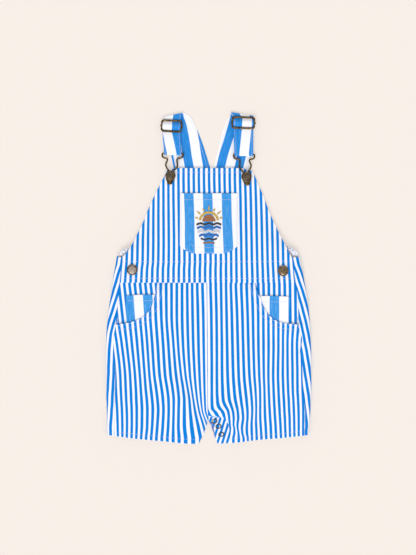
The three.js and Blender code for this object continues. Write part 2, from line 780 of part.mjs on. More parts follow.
// A slider in its own frame: one bent wire, and a centre bar peened over it at both ends.
function sliderGeometry() {
  const points = [];
  const add = (x, y) => {
    const rise = sliderRise * ease(Math.abs(y) / (sliderHalfHeight - sliderCorner));
    points.push(new THREE.Vector3(x, y, barZ + rise));
  };
  const cornerSteps = 3;
  const corner = (signX, signY, from) => {
    for (let k = 0; k <= cornerSteps; k++) {
      const angle = ((from + (k / cornerSteps) * 90) * Math.PI) / 180;
      const x = signX * (sliderHalfWidth - sliderCorner) + sliderCorner * Math.cos(angle);
      const y = signY * (sliderHalfHeight - sliderCorner) + sliderCorner * Math.sin(angle);
      add(x, y);
    }
  };
  add(sliderHalfWidth, sliderSplit);
  add(sliderHalfWidth, sliderStraight);
  corner(1, 1, 0);
  corner(-1, 1, 90);
  add(-sliderHalfWidth, sliderStraight);
  add(-sliderHalfWidth, 0);
  add(-sliderHalfWidth, -sliderStraight);
  corner(-1, -1, 180);
  corner(1, -1, 270);
  add(sliderHalfWidth, -sliderStraight);
  add(sliderHalfWidth, -sliderSplit);
  let solid = solidOf(wireGeometry(points, 38));
  const bar = new THREE.CylinderGeometry(barRadius, barRadius, 2 * sliderHalfWidth, 8);
  bar.rotateZ(Math.PI / 2).translate(0, 0, barZ);
  solid = solid.add(solidOf(bar));
  for (const sign of [-1, 1]) {
    const knob = new THREE.CylinderGeometry(knobRadius, knobRadius, knobLength, 8);
    knob.rotateZ(Math.PI / 2).translate(sign * (sliderHalfWidth + knobOffset), 0, barZ);
    solid = solid.add(solidOf(knob));
  }
  return geometryOf(solid);
}

function slider(side) {
  const mesh = meshOf("slider_" + side.name, sliderGeometry(), agedBrass);
  mesh.position.set(side.slider.x, side.slider.y, 0);
  mesh.rotation.z = THREE.MathUtils.degToRad(side.slider.turn);
  return mesh;
}

// A buckle in its own frame, with the button at the origin: a bent wire loop whose ends meet in
// the middle of the bar, and whose lower end is a narrow slot for the button's shank.
function buckle(side) {
  const levelTo = 13;
  const levelFrom = 25;
  const place = (across, up) => {
    const fall = ease((up - levelTo) / (levelFrom - levelTo));
    return new THREE.Vector3(across, up, THREE.MathUtils.lerp(buckleOverBibZ, barZ, fall));
  };
  const half = (sign) => buckleHalf.map((row) => place(sign * row.across, row.up));
  const ends = 0.2;
  const points = [
    place(ends, buckleBar),
    ...half(1).reverse(),
    place(1.6, buckleTipUp + 0.5),
    place(-1.6, buckleTipUp + 0.5),
    ...half(-1),
    place(-ends, buckleBar),
  ];
  const mesh = meshOf("buckle_" + side.name, wireGeometry(points, 58), agedBrass);
  mesh.position.set(side.bibButton.x, side.bibButton.y, 0);
  mesh.rotation.z = THREE.MathUtils.degToRad(side.buckleTurn);
  return mesh;
}

function button(name, place, clothTop, shank) {
  const profile = [
    [0, 0],
    [shankRadius, 0],
    [shankRadius, shank],
    [buttonRadius - 0.3, shank],
    [buttonRadius, shank + 0.6],
    [buttonRadius - 0.4, shank + 1.2],
    [buttonRadius - 1.6, shank + 1.3],
    [buttonRadius - 2.1, shank + 1.1],
    [3, shank + 1.6],
    [0, shank + 1.8],
  ];
  const points = profile.map(([r, z]) => new THREE.Vector2(r, z));
  const geometry = new THREE.LatheGeometry(points, 16).rotateX(Math.PI / 2);
  const mesh = meshOf(name, geometry, agedBrass);
  mesh.position.set(place.x, place.y, clothTop + seamGap);
  return mesh;
}

function snapRing(place, index) {
  const profile = [];
  const sides = 6;
  for (let k = 0; k <= sides; k++) {
    const angle = (k / sides) * 2 * Math.PI;
    profile.push(new THREE.Vector2(ringRadius + ringWire * Math.cos(angle), ringWire * Math.sin(angle)));
  }
  const geometry = new THREE.LatheGeometry(profile, 14).rotateX(Math.PI / 2);
  const mesh = meshOf("snap_ring_" + (index + 1), geometry, agedBrass);
  const step = 2;
  const under = (dx, dy) => placketUnder(place.x + dx, place.y + dy);
  const slopeX = (under(step, 0) - under(-step, 0)) / (2 * step);
  const slopeY = (under(0, step) - under(0, -step)) / (2 * step);
  const normal = new THREE.Vector3(-slopeX, -slopeY, 1).normalize();
  mesh.quaternion.setFromUnitVectors(new THREE.Vector3(0, 0, 1), normal);
  mesh.position.set(place.x, place.y, placketUnder(place.x, place.y) + clothWall);
  mesh.position.addScaledVector(normal, ringLift + ringWire);
  return mesh;
}

const garment = new THREE.Group();
garment.add(frontBib(), chestPocket(), inseamPlacket());
for (const side of [left, right]) {
  const bibButtonTop = bibUnder(side.bibButton.x, side.bibButton.y) + clothWall;
  garment.add(
    backHalf(side),
    frontLeg(side),
    pocketFacing(side),
    coinPocket(side),
    strap(side),
    slider(side),
    buckle(side),
    button("bib_button_" + side.name, side.bibButton, bibButtonTop, bibShank),
    button("side_button_" + side.name, side.sideButton, bibUnderWaist + clothWall, sideShank),
  );
}
snapPlaces.forEach((place, index) => garment.add(snapRing(place, index)));

// The origin is the middle of the whole underside.
const box = new THREE.Box3().setFromObject(garment, true);
const middle = box.getCenter(new THREE.Vector3());
garment.position.set(-middle.x, -middle.y, -box.min.z);

export default garment;
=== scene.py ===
import math

import bpy
import numpy as np
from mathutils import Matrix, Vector


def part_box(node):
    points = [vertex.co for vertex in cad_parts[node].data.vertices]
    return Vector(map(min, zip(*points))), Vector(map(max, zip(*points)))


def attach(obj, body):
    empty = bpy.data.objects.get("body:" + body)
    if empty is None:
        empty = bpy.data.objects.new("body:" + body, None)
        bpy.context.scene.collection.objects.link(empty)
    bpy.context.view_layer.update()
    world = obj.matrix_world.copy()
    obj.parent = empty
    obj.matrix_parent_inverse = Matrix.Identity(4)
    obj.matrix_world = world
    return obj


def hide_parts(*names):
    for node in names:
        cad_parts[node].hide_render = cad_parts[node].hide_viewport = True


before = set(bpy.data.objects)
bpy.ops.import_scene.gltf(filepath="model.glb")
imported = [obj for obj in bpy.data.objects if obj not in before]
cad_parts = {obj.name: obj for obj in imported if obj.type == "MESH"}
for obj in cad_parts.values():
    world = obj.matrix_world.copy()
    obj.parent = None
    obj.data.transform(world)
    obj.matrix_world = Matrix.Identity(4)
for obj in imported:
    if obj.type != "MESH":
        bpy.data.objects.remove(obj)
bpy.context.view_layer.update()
print("frame loaded")

# Tables are in millimetres, x to the right, y towards the shoulders, z up from the surface.
mm = 0.001
pocketLow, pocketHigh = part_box("bib_pocket")
bibPocket = {
    "top": 118.2, "bottom": 33.6, "halfWidth": 40.4,
    "roundFrom": 19, "cornerRise": 11, "hemFrom": 109.6,
}
originShift = np.array([
    (pocketLow[0] + pocketHigh[0]) / 2 / mm,
    (pocketLow[1] + pocketHigh[1]) / 2 / mm - (bibPocket["top"] + bibPocket["bottom"]) / 2,
    0,
])

cloth = {
    "wall": 1.0,  # room that one layer takes
    "half": 0.45,  # half the thickness of one layer as it is drawn
    "gap": 0.3,
    "step": 1.4,  # size of the mesh's cells
    "edge": 0.35,  # the last cell before an edge is this narrow, which rounds it
    "stripe": 7.3,
    "wideStripe": 25.8,
}
layerStep = cloth["wall"] + cloth["gap"]
heights = {
    "front": 7.6,  # underside of the front layer
    "bibWaist": 8.9,  # underside of the bib at the waist and at its top
    "bibTop": 2.6,
    "bar": 3.5,
    "sideRadius": 4.3,
}
hemReference = -228
hemEffectTop = -150
crotchY = -200.2
pocketFootY = -65.7
mouthTopY = -12
waistSeamY = -7.1
legTopY = -4.0
placketFoldTopY = -194
flapTopY = 30.4
flapTopDrop = 3.7
backTopY = 146.6

# The edges along each side. Grain tables hold where some of the stripes run: a row for each
# height, a column for each numbered stripe, counted outwards from the centre seam.
left = {
    "name": "left",
    "out": -1,
    "fold": {
        "y": [-220, -185, -146, -80, -44, 2, 30],
        "x": [-142.4, -143.4, -143.9, -143.8, -140.1, -133.4, -128.9],
    },
    "sideSeam": {
        "y": [-222, -156, -126, -107, -87, -65.7, -45, -11, 27],
        "x": [-132.2, -131.2, -130.6, -132.2, -133.1, -130.3, -128.1, -125, -121.4],
    },
    "mouth": {
        "y": [-65.7, -63.8, -61.6, -58.1, -51, -41.2, -29.5, -20.6, -7.1, -4],
        "x": [-130.3, -116.1, -107.1, -98.1, -87.5, -80.4, -76.7, -73.6, -72.2, -72.1],
    },
    "coinEdge": {"y": [-66, -24.2], "x": [-114.7, -116.1]},
    "coinTop": -24.2,
    "inseam": {
        "y": [-232.8, -228.6, -221.6, -212.9, -203.1, -200.2],
        "x": [-14, -12.3, -8.3, -5.3, -2, -0.8],
    },
    "hem": {"x": [-143, -107.5, -57.4, -30.9, -14], "y": [-219.8, -224.7, -229.7, -232.1, -232.8]},
    "armhole": {
        "y": [38.4, 46, 58, 75, 100, 125, 146.6],
        "x": [-117.9, -104, -92, -80, -68, -58, -52],
    },
    "folds": [
        {"from": (-38, -136), "to": (-6, -190), "halfWidth": 9, "height": -1.1},
        {"from": (-34, -172), "to": (-24, -232), "halfWidth": 10, "height": 1.2},
        {"from": (-96, -86), "to": (-54, -160), "halfWidth": 16, "height": 0.9},
        {"from": (-72, -150), "to": (-60, -232), "halfWidth": 10, "height": -0.9},
        {"from": (-104, -150), "to": (-98, -226), "halfWidth": 12, "height": 0.6},
    ],
    "grain": {
        "y": [-224, -206, -185, -171, -157, -136, -94, -52, -14],
        0: [11.6, 8.5, -0.2, -0.3, -0.4, -0.5, -0.7, -0.9, -1.1],
        1: [5, 1.5, -4.9, -5.5, -6, -6.4, -7.1, -7.7, -9],
        3: [-3.4, -7.8, -13.7, -16.2, -17.9, -19.7, -21.8, -22.8, -23.4],
        4: [-11.6, -15.1, -19.6, -21.8, -23.9, -26.5, -28.8, -29.8, -30.2],
        5: [-22, -24.1, -25.9, -27, -29.1, -32.6, -36.1, -37.4, -37.5],
        6: [-32.5, -34.4, -34.3, -34.4, -35.7, -38.9, -43, -44.8, -44.8],
        7: [-41.7, -42.7, -42.4, -41.9, -43.1, -45.9, -49.3, -52.1, -52.2],
        9: [-58, -56.7, -56, -56.3, -57.8, -61.2, -63.8, -66.5, -67.2],
        11: [-73.5, -72.1, -70.8, -71.8, -73.5, -76.4, -79.2, -82, -82.5],
        13: [-87.8, -86.2, -86, -86.7, -88.2, -89.7, -92.8, -96, -97],
        15: [-101.5, -100.9, -100.9, -101.4, -101.9, -103.3, -107.4, -111, -112.5],
        17: [-114.7, -114.4, -114.8, -115.6, -116.2, -117, -121.7, -127, -128.7],
        19: [-127.1, -127.5, -128.2, -129.1, -129.9, -130.8, -135, -142, -145],
    },
    "flapGrain": {"y": [-216, -157, -94, -31, 18], "s": [-15.1, -10.6, -7.7, 2.5, 10]},
    "facingGrain": {"at": -95.6, "lean": -0.11},
    "coinGrain": {"at": -85.7, "lean": -0.07},
    "backRun": {
        "y": [138.5, 150, 158, 172, 190, 209.6, 217, 224],
        "left": [-46.5, -48.7, -50.2, -52.9, -56.3, -60, -61.3, -62.4],
        "right": [2.6, 2.8, 0.7, -3.6, -9.4, -17.3, -20.6, -24.4],
        "z": [1.8, 1.8, 0.5, 0.5, 0.5, 0.5, 0.5, 0.5],
        "stripe": [-26.6, -27, -28, -30.4, -33, -36.6, -38.4, -41],
    },
    "roll": {
        "left": (-63.1, 226.2), "right": (-38.5, 231.6),
        "under": (-32.0, 231.0), "bend": (-27.0, 228.7),
    },
    "frontStripe": {"top": 7.0, "foot": 11.9},
    "slider": {"at": (-52.3, 212.4), "turn": -3, "halfWidth": 13.6},
    "strapHalf": 12.7,
    "bibButton": (-53.8, 142.7),
    "buckleTurn": -6.2,
    "barTurn": -0.8,
    "loopHalf": 12.1,
    "cornerBulge": 3.0,
    "sideButton": (-107.1, 10.8),
    "barTack": (-127.6, -59.6, 5),
}
right = {
    "name": "right",
    "out": 1,
    "fold": {
        "y": [-220, -200, -136, -117, -80, -30, -1, 30],
        "x": [139.7, 142.1, 143.8, 143.6, 142.7, 138.2, 133.3, 127],
    },
    "sideSeam": {
        "y": [-221, -195, -146, -119, -103, -87, -65.7, -34, -7, 26],
        "x": [133.8, 134.7, 131.3, 130.3, 127.4, 130.3, 125.2, 125.2, 121.2, 115.9],
    },
    "mouth": {
        "y": [-65.7, -63.8, -61.6, -56.3, -50, -40.2, -27.7, -18.8, -7.1, -4],
        "x": [125.2, 108.2, 97.6, 88.6, 82.3, 76.2, 71.7, 68, 65.8, 65.7],
    },
    "coinEdge": {"y": [-66, -26], "x": [111.5, 113.5]},
    "coinTop": -26,
    "inseam": {
        "y": [-232.8, -224.7, -216, -201.6, -200.2],
        "x": [12.5, 9, 6, 0.3, -0.4],
    },
    "hem": {"x": [12, 34.4, 68, 108.2, 140], "y": [-232.8, -231.1, -227.2, -223.7, -220.1]},
    "armhole": {
        "y": [43.7, 52, 64, 80, 100, 125, 146.6],
        "x": [111.9, 99, 88, 78, 70, 63, 59],
    },
    "folds": [
        {"from": (36, -188), "to": (46, -231), "halfWidth": 9, "height": 1.1},
        {"from": (60, -130), "to": (74, -215), "halfWidth": 10, "height": -1.0},
        {"from": (16, -120), "to": (34, -180), "halfWidth": 12, "height": -0.7},
        {"from": (92, -100), "to": (100, -224), "halfWidth": 13, "height": 0.8},
    ],
    "grain": {
        "y": [
            -224, -216, -210, -206, -196, -194.5, -193, -190, -187,
            -184, -178, -171, -157, -136, -94, -52, -14,
        ],
        0: [
            9, 10.6, 10.2, 9, 12.4, 6.4, 1.4, -0.6, -1.6,
            -2.4, -2.9, -3.1, -3.2, -3.2, -3.5, -3.9, -4.9,
        ],
        1: [16, 17.8, 17.8, 17, 15.6, 13.4, 12.1, 10.4, 8.1, 4.7, 4.3, 4.2, 4.2, 4.2, 3.9, 3.4, 2.4],
        2: [
            21, 23.4, 23.7, 23.4, 22.1, 21.8, 21.4, 20.6, 19.2,
            16.3, 12.7, 12, 11.2, 11.2, 11.2, 10.8, 9.7,
        ],
        3: [
            27.6, 29.1, 29.8, 29.6, 28.5, 28.4, 28.2, 27.8, 27.2,
            26.1, 22.6, 19.9, 19.2, 18.5, 18.2, 17.6, 17.1,
        ],
        4: [
            34.3, 36.0, 35.7, 34.6, 34.8, 34.7, 34.5, 34.2, 33.7,
            32.9, 31, 28.8, 27.3, 26.3, 25.5, 24.8, 24.1,
        ],
        5: [
            42, 41.3, 40.0, 39.8, 40.9, 40.9, 40.8, 40.6, 40.3,
            39.9, 38.6, 37.1, 35.6, 34.2, 33, 32.1, 30.8,
        ],
        6: [
            48.7, 46.3, 46.1, 46.6, 47.9, 47.9, 47.8, 47.6, 47.3,
            46.9, 46, 45.1, 43.3, 41.7, 40.6, 39.5, 37.8,
        ],
        8: [
            60.2, 60.0, 59.9, 59.8, 60.3, 60.4, 60.5, 60.7, 60.8,
            60.9, 60.6, 60.2, 58.8, 56.8, 55.3, 54.3, 52.9,
        ],
        10: [
            73.6, 73.1, 72.7, 72.4, 71.8, 71.8, 71.7, 71.7, 71.7,
            71.7, 71.8, 71.8, 71.7, 70.6, 69.3, 69, 67.3,
        ],
        12: [
            87.2, 86.9, 86.7, 86.5, 85.7, 85.6, 85.5, 85.3, 85.1,
            85, 84.6, 84.3, 83.7, 83.2, 83.6, 83, 82,
        ],
        14: [
            101, 100.6, 100.3, 100.1, 99.5, 99.4, 99.3, 99.1, 98.9,
            98.8, 98.4, 98, 97.3, 96.6, 97.3, 97, 96.5,
        ],
        16: [
            113.6, 113.4, 113.2, 113.1, 113, 112.9, 112.8, 112.6, 112.4,
            112.3, 112, 111.7, 110.9, 110.2, 109.9, 111, 111.5,
        ],
        18: [
            125.7, 125.7, 125.7, 125.7, 125.6, 125.6, 125.5, 125.5, 125.4,
            125.3, 125, 124.7, 123.8, 123.8, 123.2, 126, 127,
        ],
        19: [
            131.8, 131.8, 131.8, 131.8, 132, 132, 132, 132, 132,
            132, 131.9, 131.7, 131.2, 130.6, 129.9, 134, 135,
        ],
    },
    "flapGrain": {"y": [-216, 18], "s": [-23.9, 12.9]},
    "facingGrain": {"at": 91.3, "lean": -0.01},
    "coinGrain": {"at": 91.6, "lean": 0},
    "backRun": {
        "y": [138.5, 150, 158, 172, 190, 209.6, 220],
        "left": [4.2, 5.8, 7.5, 10.7, 15.2, 20.4, 24.6],
        "right": [55.4, 56.4, 57, 58.2, 59.6, 61.2, 62],
        "z": [1.8, 1.8, 0.5, 0.5, 0.5, 0.5, 0.5],
        "stripe": [14.6, 15.4, 17.2, 20.6, 26.2, 32, 35],
    },
    "roll": {"left": (31, 232.5), "right": (62.7, 227), "under": (62.7, 227), "bend": (62.4, 223.5)},
    "frontStripe": {"top": -7.9, "foot": -13.8},
    "slider": {"at": (48.4, 217), "turn": -2, "halfWidth": 15.2},
    "strapHalf": 14.2,
    "bibButton": (52.8, 141.3),
    "buckleTurn": 6.6,
    "barTurn": 0.4,
    "loopHalf": 13.1,
    "cornerBulge": 4.4,
    "sideButton": (103.7, 9.4),
    "barTack": (123.6, -59.2, -4),
}
sides = (left, right)
centreSeam = {"y": [-200.2, -184, -120, 0], "x": [-0.6, -1.6, -1.9, -2.4]}
backSeam = {"y": [-200.2, 146.6], "x": [-0.6, 3.6]}
placketFold = {
    "y": [-232.8, -213, -205, -200.6, -196.5, -194],
    "x": [30.2, 28.8, 27.3, 23.8, 13.4, -1.3],
}
placket = {"tuck": 4, "tuckTopY": -197, "topY": -190, "roll": 10, "height": 3.9}
bibEdges = {
    "y": [-7.1, 9, 26.5, 36, 48, 62, 76, 95, 115, 133, 143, 150.5],
    "left": [-124.6, -123.1, -121.4, -114, -106.7, -99.7, -92.8, -85.2, -76.2, -67.3, -62.4, -61.2],
    "right": [121.2, 118.8, 116.2, 111.7, 105.8, 98.7, 91.8, 83.6, 76.2, 68.2, 64.3, 59.6],
}
bibTop = {"cornerY": 150.5, "middleY": 153.8, "cornerLength": 18, "archFrom": 110, "hemFrom": 144.5}
bibStripes = {
    "y": [-4.6, 10.8, 22, 52.8, 80.8, 108.8, 136.8],
    -16: [-116.9, -115.9, -114.9, -114.2, -113.5, -113, -113],
    -13: [-94.4, -93.7, -92.5, -92.1, -91.6, -91.4, -91.4],
    -11: [-79.2, -79, -78, -77.6, -77.7, -77.6, -77.6],
    -7: [-49.3, -49.3, -48.7, -48.7, -49.1, -49.6, -49.8],
    0: [2.1, 2.1, 2.5, 1.9, 1.4, 1, 0.3],
    6: [46.2, 45.8, 45.6, 45.2, 44.7, 44.4, 43.7],
    10: [75.7, 75.3, 74.9, 74.3, 73.9, 73.2, 72.4],
    14: [105.7, 104.6, 103.9, 103.5, 103, 102.4, 101.6],
}


def ease(t):
    t = np.clip(t, 0, 1)
    return t * t * (3 - 2 * t)


# A smooth run through a table's rows that doesn't swing out between them.
def along(table, at, key="y", column="x"):
    knots = np.array(table[key], float)
    values = np.array(table[column], float)
    steps = np.diff(knots)
    slopes = np.diff(values) / steps
    tangents = np.concatenate([slopes[:1], np.zeros(len(slopes) - 1), slopes[-1:]])
    sameWay = slopes[:-1] * slopes[1:] > 0
    total = np.where(sameWay, slopes[:-1] + slopes[1:], 1)
    tangents[1:-1] = np.where(sameWay, 2 * slopes[:-1] * slopes[1:] / total, 0)
    place = np.clip(np.asarray(at, float), knots[0], knots[-1])
    cell = np.clip(np.searchsorted(knots, place, side="right") - 1, 0, len(steps) - 1)
    t = (place - knots[cell]) / steps[cell]
    low, high = values[cell], values[cell + 1]
    pull = steps[cell] * (tangents[cell] * t * (1 - t) ** 2 - tangents[cell + 1] * t * t * (1 - t))
    return low + (high - low) * (3 * t * t - 2 * t ** 3) + pull


def distanceTo(line, x, y):
    nearest = np.full(np.broadcast(x, y).shape, 1e9)
    for (ax, ay), (bx, by) in zip(line[:-1], line[1:]):
        dx, dy = bx - ax, by - ay
        t = np.clip(((x - ax) * dx + (y - ay) * dy) / (dx * dx + dy * dy), 0, 1)
        nearest = np.minimum(nearest, np.hypot(x - ax - t * dx, y - ay - t * dy))
    return nearest


def placed(centre, turn, across, up, z):
    angle = math.radians(turn)
    return np.array([
        centre[0] + across * math.cos(angle) - up * math.sin(angle),
        centre[1] + across * math.sin(angle) + up * math.cos(angle),
        z,
    ])


def points(table):
    return list(zip(table["x"], table["y"]))


# Even places from one edge to the other, with a narrow cell at both ends.
def spread(start, stop, step=cloth["step"]):
    length = abs(stop - start)
    count = max(2, round(length / step))
    inner = np.linspace(cloth["edge"], length - cloth["edge"], count)
    return start + np.sign(stop - start) * np.concatenate([[0], inner, [length]])


# Small uneven rise and fall of cloth that lies unpressed.
def clothWave(x, y):
    broad = np.sin(0.052 * x + 0.019 * y + 1.3) * np.sin(0.036 * y - 0.014 * x + 0.4)
    fine = np.sin(0.121 * x - 0.05 * y + 0.7) * np.sin(0.083 * y + 0.031 * x + 2.1)
    return 0.32 * broad + 0.16 * fine


# The dip along a row of stitches, with small puckers.
def seamDip(line, x, y, depth=0.22, width=1.5):
    pucker = 0.75 + 0.25 * np.sin(1.05 * x + 0.9 * y)
    return depth * pucker * np.exp(-((distanceTo(line, x, y) / width) ** 2))


# A line beside another one, to its side given by the sign of the distance.
def beside(line, distance):
    run = np.array(line, float)
    tangent = np.gradient(run, axis=0)
    tangent /= np.linalg.norm(tangent, axis=1, keepdims=True)
    normal = np.stack([tangent[:, 1], -tangent[:, 0]], axis=1)
    return run + distance * normal


def lengthsAlong(run):
    return np.concatenate([[0], np.cumsum(np.linalg.norm(np.diff(run, axis=0), axis=1))])


def resample(line, step):
    run = np.array(line, float)
    lengths = lengthsAlong(run)
    count = max(2, int(round(lengths[-1] / step)) + 1)
    places = np.linspace(0, lengths[-1], count)
    return np.stack([np.interp(places, lengths, run[:, k]) for k in range(run.shape[1])], axis=1)


print("tables and helpers ready")


# Materials
colours = {
    "white": (0.9, 0.905, 0.93),
    "shadedWhite": (0.86, 0.865, 0.9),
    "narrowBlue": (0.0, 0.22, 0.71),
    "wideBlue": (0.034, 0.31, 0.76),
    "strapBlue": (0.012, 0.255, 0.72),
    "inside": (0.9, 0.9, 0.945),
    "thread": (0.72, 0.68, 0.83),
    "floor": (0.83, 0.762, 0.705),
    "overlock": (0.2, 0.27, 0.68),
}


class Finish:
    # A material with short ways to add its nodes.
    def __init__(self, name):
        self.material = bpy.data.materials.new(name)
        self.material.use_nodes = True
        self.tree = self.material.node_tree
        self.shader = self.tree.nodes["Principled BSDF"]

    def add(self, kind, **settings):
        node = self.tree.nodes.new("ShaderNode" + kind)
        for key, value in settings.items():
            setattr(node, key, value)
        return node

    def join(self, source, target):
        self.tree.links.new(source, target)

    def put(self, socket, value):
        if isinstance(value, bpy.types.NodeSocket):
            self.join(value, socket)
        else:
            socket.default_value = value

    def math(self, operation, a, b=0.0, c=0.0):
        node = self.add("Math", operation=operation)
        for socket, value in zip(node.inputs, (a, b, c)):
            self.put(socket, value)
        return node.outputs[0]

    def mix(self, factor, a, b, blend="MIX"):
        node = self.add("Mix", data_type="RGBA", blend_type=blend)
        self.put(node.inputs[0], factor)
        for socket, value in ((node.inputs[6], a), (node.inputs[7], b)):
            self.put(socket, (*value, 1) if isinstance(value, tuple) else value)
        return node.outputs[2]

    def range(self, value, low, high, toLow, toHigh):
        node = self.add("MapRange", interpolation_type="SMOOTHSTEP")
        for socket, number in zip(node.inputs, (value, low, high, toLow, toHigh)):
            self.put(socket, number)
        return node.outputs[0]

    def noise(self, vector, scale, detail=2.0):
        node = self.add("TexNoise")
        self.join(vector, node.inputs["Vector"])
        node.inputs["Scale"].default_value = scale
        node.inputs["Detail"].default_value = detail
        return node.outputs[0]

    def stretch(self, vector, scale, turn=0.0):
        node = self.add("Mapping")
        self.join(vector, node.inputs["Vector"])
        node.inputs["Scale"].default_value = scale
        node.inputs["Rotation"].default_value = (0, 0, turn)
        return node.outputs[0]

    def sumOf(self, a, shareA, b, shareB):
        return self.math("ADD", self.math("MULTIPLY", a, shareA), self.math("MULTIPLY", b, shareB))

    def grain(self):
        return self.add("UVMap", uv_map="grain").outputs[0]

    def bands(self, vector, direction, scale, distortion):
        node = self.add("TexWave", wave_type="BANDS", bands_direction=direction)
        self.join(vector, node.inputs["Vector"])
        node.inputs["Scale"].default_value = scale
        node.inputs["Distortion"].default_value = distortion
        return node

    # The colour, the relief and the numbers that are the same all over.
    def wear(self, colour, relief, strength, depth, numbers):
        self.join(colour, self.shader.inputs["Base Color"])
        if relief:
            bump = self.add("Bump")
            self.join(relief, bump.inputs["Height"])
            bump.inputs["Strength"].default_value = strength
            bump.inputs["Distance"].default_value = depth
            self.join(bump.outputs[0], self.shader.inputs["Normal"])
        for name, number in numbers.items():
            self.shader.inputs[name].default_value = number
        return self.material


def mixed(colour, share, other):
    return tuple((1 - share) * c + share * o for c, o in zip(colour, other))


def darker(colour, share):
    return tuple(share * c for c in colour)


# Cloth with stripes that follow the piece's own grain, in a fine twill.
def stripedCloth(name, period, share, blue, slub, streak=0.0):
    made = Finish(name)
    grain = made.grain()
    across = made.add("SeparateXYZ")
    made.join(grain, across.inputs[0])
    threadRun = made.noise(made.stretch(grain, (900, 60, 1)), 1.0, 3.0)
    edgeWander = made.math("MULTIPLY", made.math("SUBTRACT", threadRun, 0.5), 0.0004)
    place = made.math("ADD", across.outputs[0], edgeWander)
    count = made.math("MULTIPLY", place, 1 / (period * mm))
    fraction = made.math("FRACT", made.math("ADD", count, 0.5))
    fromMiddle = made.math("ABSOLUTE", made.math("SUBTRACT", fraction, 0.5))
    soft = 0.22 / period
    isBlue = made.range(fromMiddle, share / 2 - soft, share / 2 + soft, 1.0, 0.0)
    yarn = made.noise(made.stretch(grain, (2600, 240, 1)), 1.0, 2.0)
    weft = made.noise(made.stretch(grain, (300, 2600, 1)), 1.0, 2.0)
    shade = made.sumOf(yarn, 0.6, weft, 0.4)
    pale = mixed(blue, slub, colours["white"])
    blueYarn = made.mix(made.range(shade, 0.34, 0.66, 0.0, 1.0), darker(blue, 0.86), pale)
    if streak:
        uneven = made.noise(made.stretch(grain, (850, 60, 1)), 1.0, 2.0)
        worn = mixed(blue, streak, colours["white"])
        blueYarn = made.mix(made.range(uneven, 0.5, 0.66, 0.0, 1.0), blueYarn, worn)
        blueYarn = made.mix(made.range(uneven, 0.5, 0.34, 0.0, 1.0), blueYarn, darker(blue, 0.9))
    whiteYarn = made.mix(made.range(shade, 0.3, 0.7, 0.0, 1.0), colours["shadedWhite"], colours["white"])
    colour = made.mix(isBlue, whiteYarn, blueYarn)
    twill = made.bands(made.stretch(grain, (1, 1, 1), math.radians(58)), "X", 420, 0.8)
    twill.inputs["Detail"].default_value = 1.0
    height = made.math("ADD", twill.outputs[1], made.math("MULTIPLY", weft, 0.8))
    return made.wear(colour, height, 0.35, 0.00012, {
        "Roughness": 0.88, "Specular IOR Level": 0.06, "Sheen Weight": 0.03, "Sheen Roughness": 0.55,
    })


# The white reverse of the cloth, on which the stripes hardly show.
def insideCloth():
    made = Finish("clothInside")
    yarn = made.noise(made.stretch(made.grain(), (1800, 500, 1)), 1.0, 3.0)
    colour = made.mix(made.range(yarn, 0.3, 0.7, 0.0, 1.0), (0.82, 0.83, 0.9), colours["inside"])
    return made.wear(colour, yarn, 0.3, 0.0001, {"Roughness": 0.9, "Sheen Weight": 0.15})


# Twisted thread, laid across the run of a stitch or of an embroidered strip, with painted shade darkening
# the grooves between its plies.
def threadFinish(name, colour, ply, relief=0.0001, paintedGrooveShade=0.82):
    made = Finish(name)
    plies = made.bands(made.grain(), "Y", 0.5 / (ply * mm), 1.2).outputs[1]
    # The low parts of the ply bands get the darker colour: painted shade in the grooves.
    shade = made.mix(plies, darker(colour, paintedGrooveShade), colour)
    return made.wear(shade, plies, 0.8, relief, {"Roughness": 0.6, "Sheen Weight": 0.3})


# Brass with a dark patina that is worn bright in places.
def agedBrass(name, dark, bright, wear, dull=0.52, shiny=0.34):
    made = Finish(name)
    place = made.add("TexCoord").outputs["Object"]
    cloudy = made.noise(place, 420.0, 4.0)
    fine = made.noise(place, 2400.0, 2.0)
    worn = made.range(made.sumOf(cloudy, 0.65, fine, 0.35), wear - 0.12, wear + 0.12, 0.0, 1.0)
    made.join(made.range(worn, 0.0, 1.0, dull, shiny), made.shader.inputs["Roughness"])
    return made.wear(made.mix(worn, dark, bright), fine, 0.25, 0.00008, {"Metallic": 1.0})


finishes = {
    "narrow": stripedCloth("narrowStripeTwill", cloth["stripe"], 0.55, colours["narrowBlue"], 0.005),
    "bib": stripedCloth("bibStripeTwill", cloth["stripe"], 0.515, colours["narrowBlue"], 0.005),
    "wide": stripedCloth("wideStripeTwill", cloth["wideStripe"], 0.51, colours["wideBlue"], 0.05, 0.09),
    "strap": stripedCloth("strapStripeTwill", cloth["wideStripe"], 0.49, colours["strapBlue"], 0.03, 0.07),
    "inside": insideCloth(),
    "thread": threadFinish("sewingThread", colours["thread"], 0.5),
    "overlock": threadFinish("overlockThread", colours["overlock"], 0.5),
    "wire": agedBrass("agedWireBrass", (0.05, 0.032, 0.012), (0.24, 0.15, 0.055), 0.53),
    "snap": agedBrass("rubbedSnapBrass", (0.018, 0.014, 0.011), (0.34, 0.23, 0.13), 0.57),
    "buttonDark": agedBrass("agedButtonBrass", (0.075, 0.055, 0.04), (0.2, 0.15, 0.1), 0.52),
    # A paler copy of the button brass for the left side button: its lighter colour is a painted reflection,
    # not rubbed wear.
    "buttonPaintedReflection": agedBrass("reflectionPaintedButtonBrass", (0.24, 0.185, 0.155), (0.5, 0.42, 0.36), 0.44, 0.68, 0.56),
    "buttonGold": agedBrass("goldButtonBrass", (0.11, 0.08, 0.05), (0.3, 0.22, 0.13), 0.48),
    "buttonRim": agedBrass("darkRimBrass", (0.09, 0.065, 0.045), (0.26, 0.2, 0.15), 0.5),
}
print("materials ready")


# Puts new mesh or curve data in the scene, selected on its own.
def placeAlone(name, data):
    made = bpy.data.objects.new(name, data)
    bpy.context.scene.collection.objects.link(made)
    bpy.ops.object.select_all(action="DESELECT")
    bpy.context.view_layer.objects.active = made
    made.select_set(True)
    return made


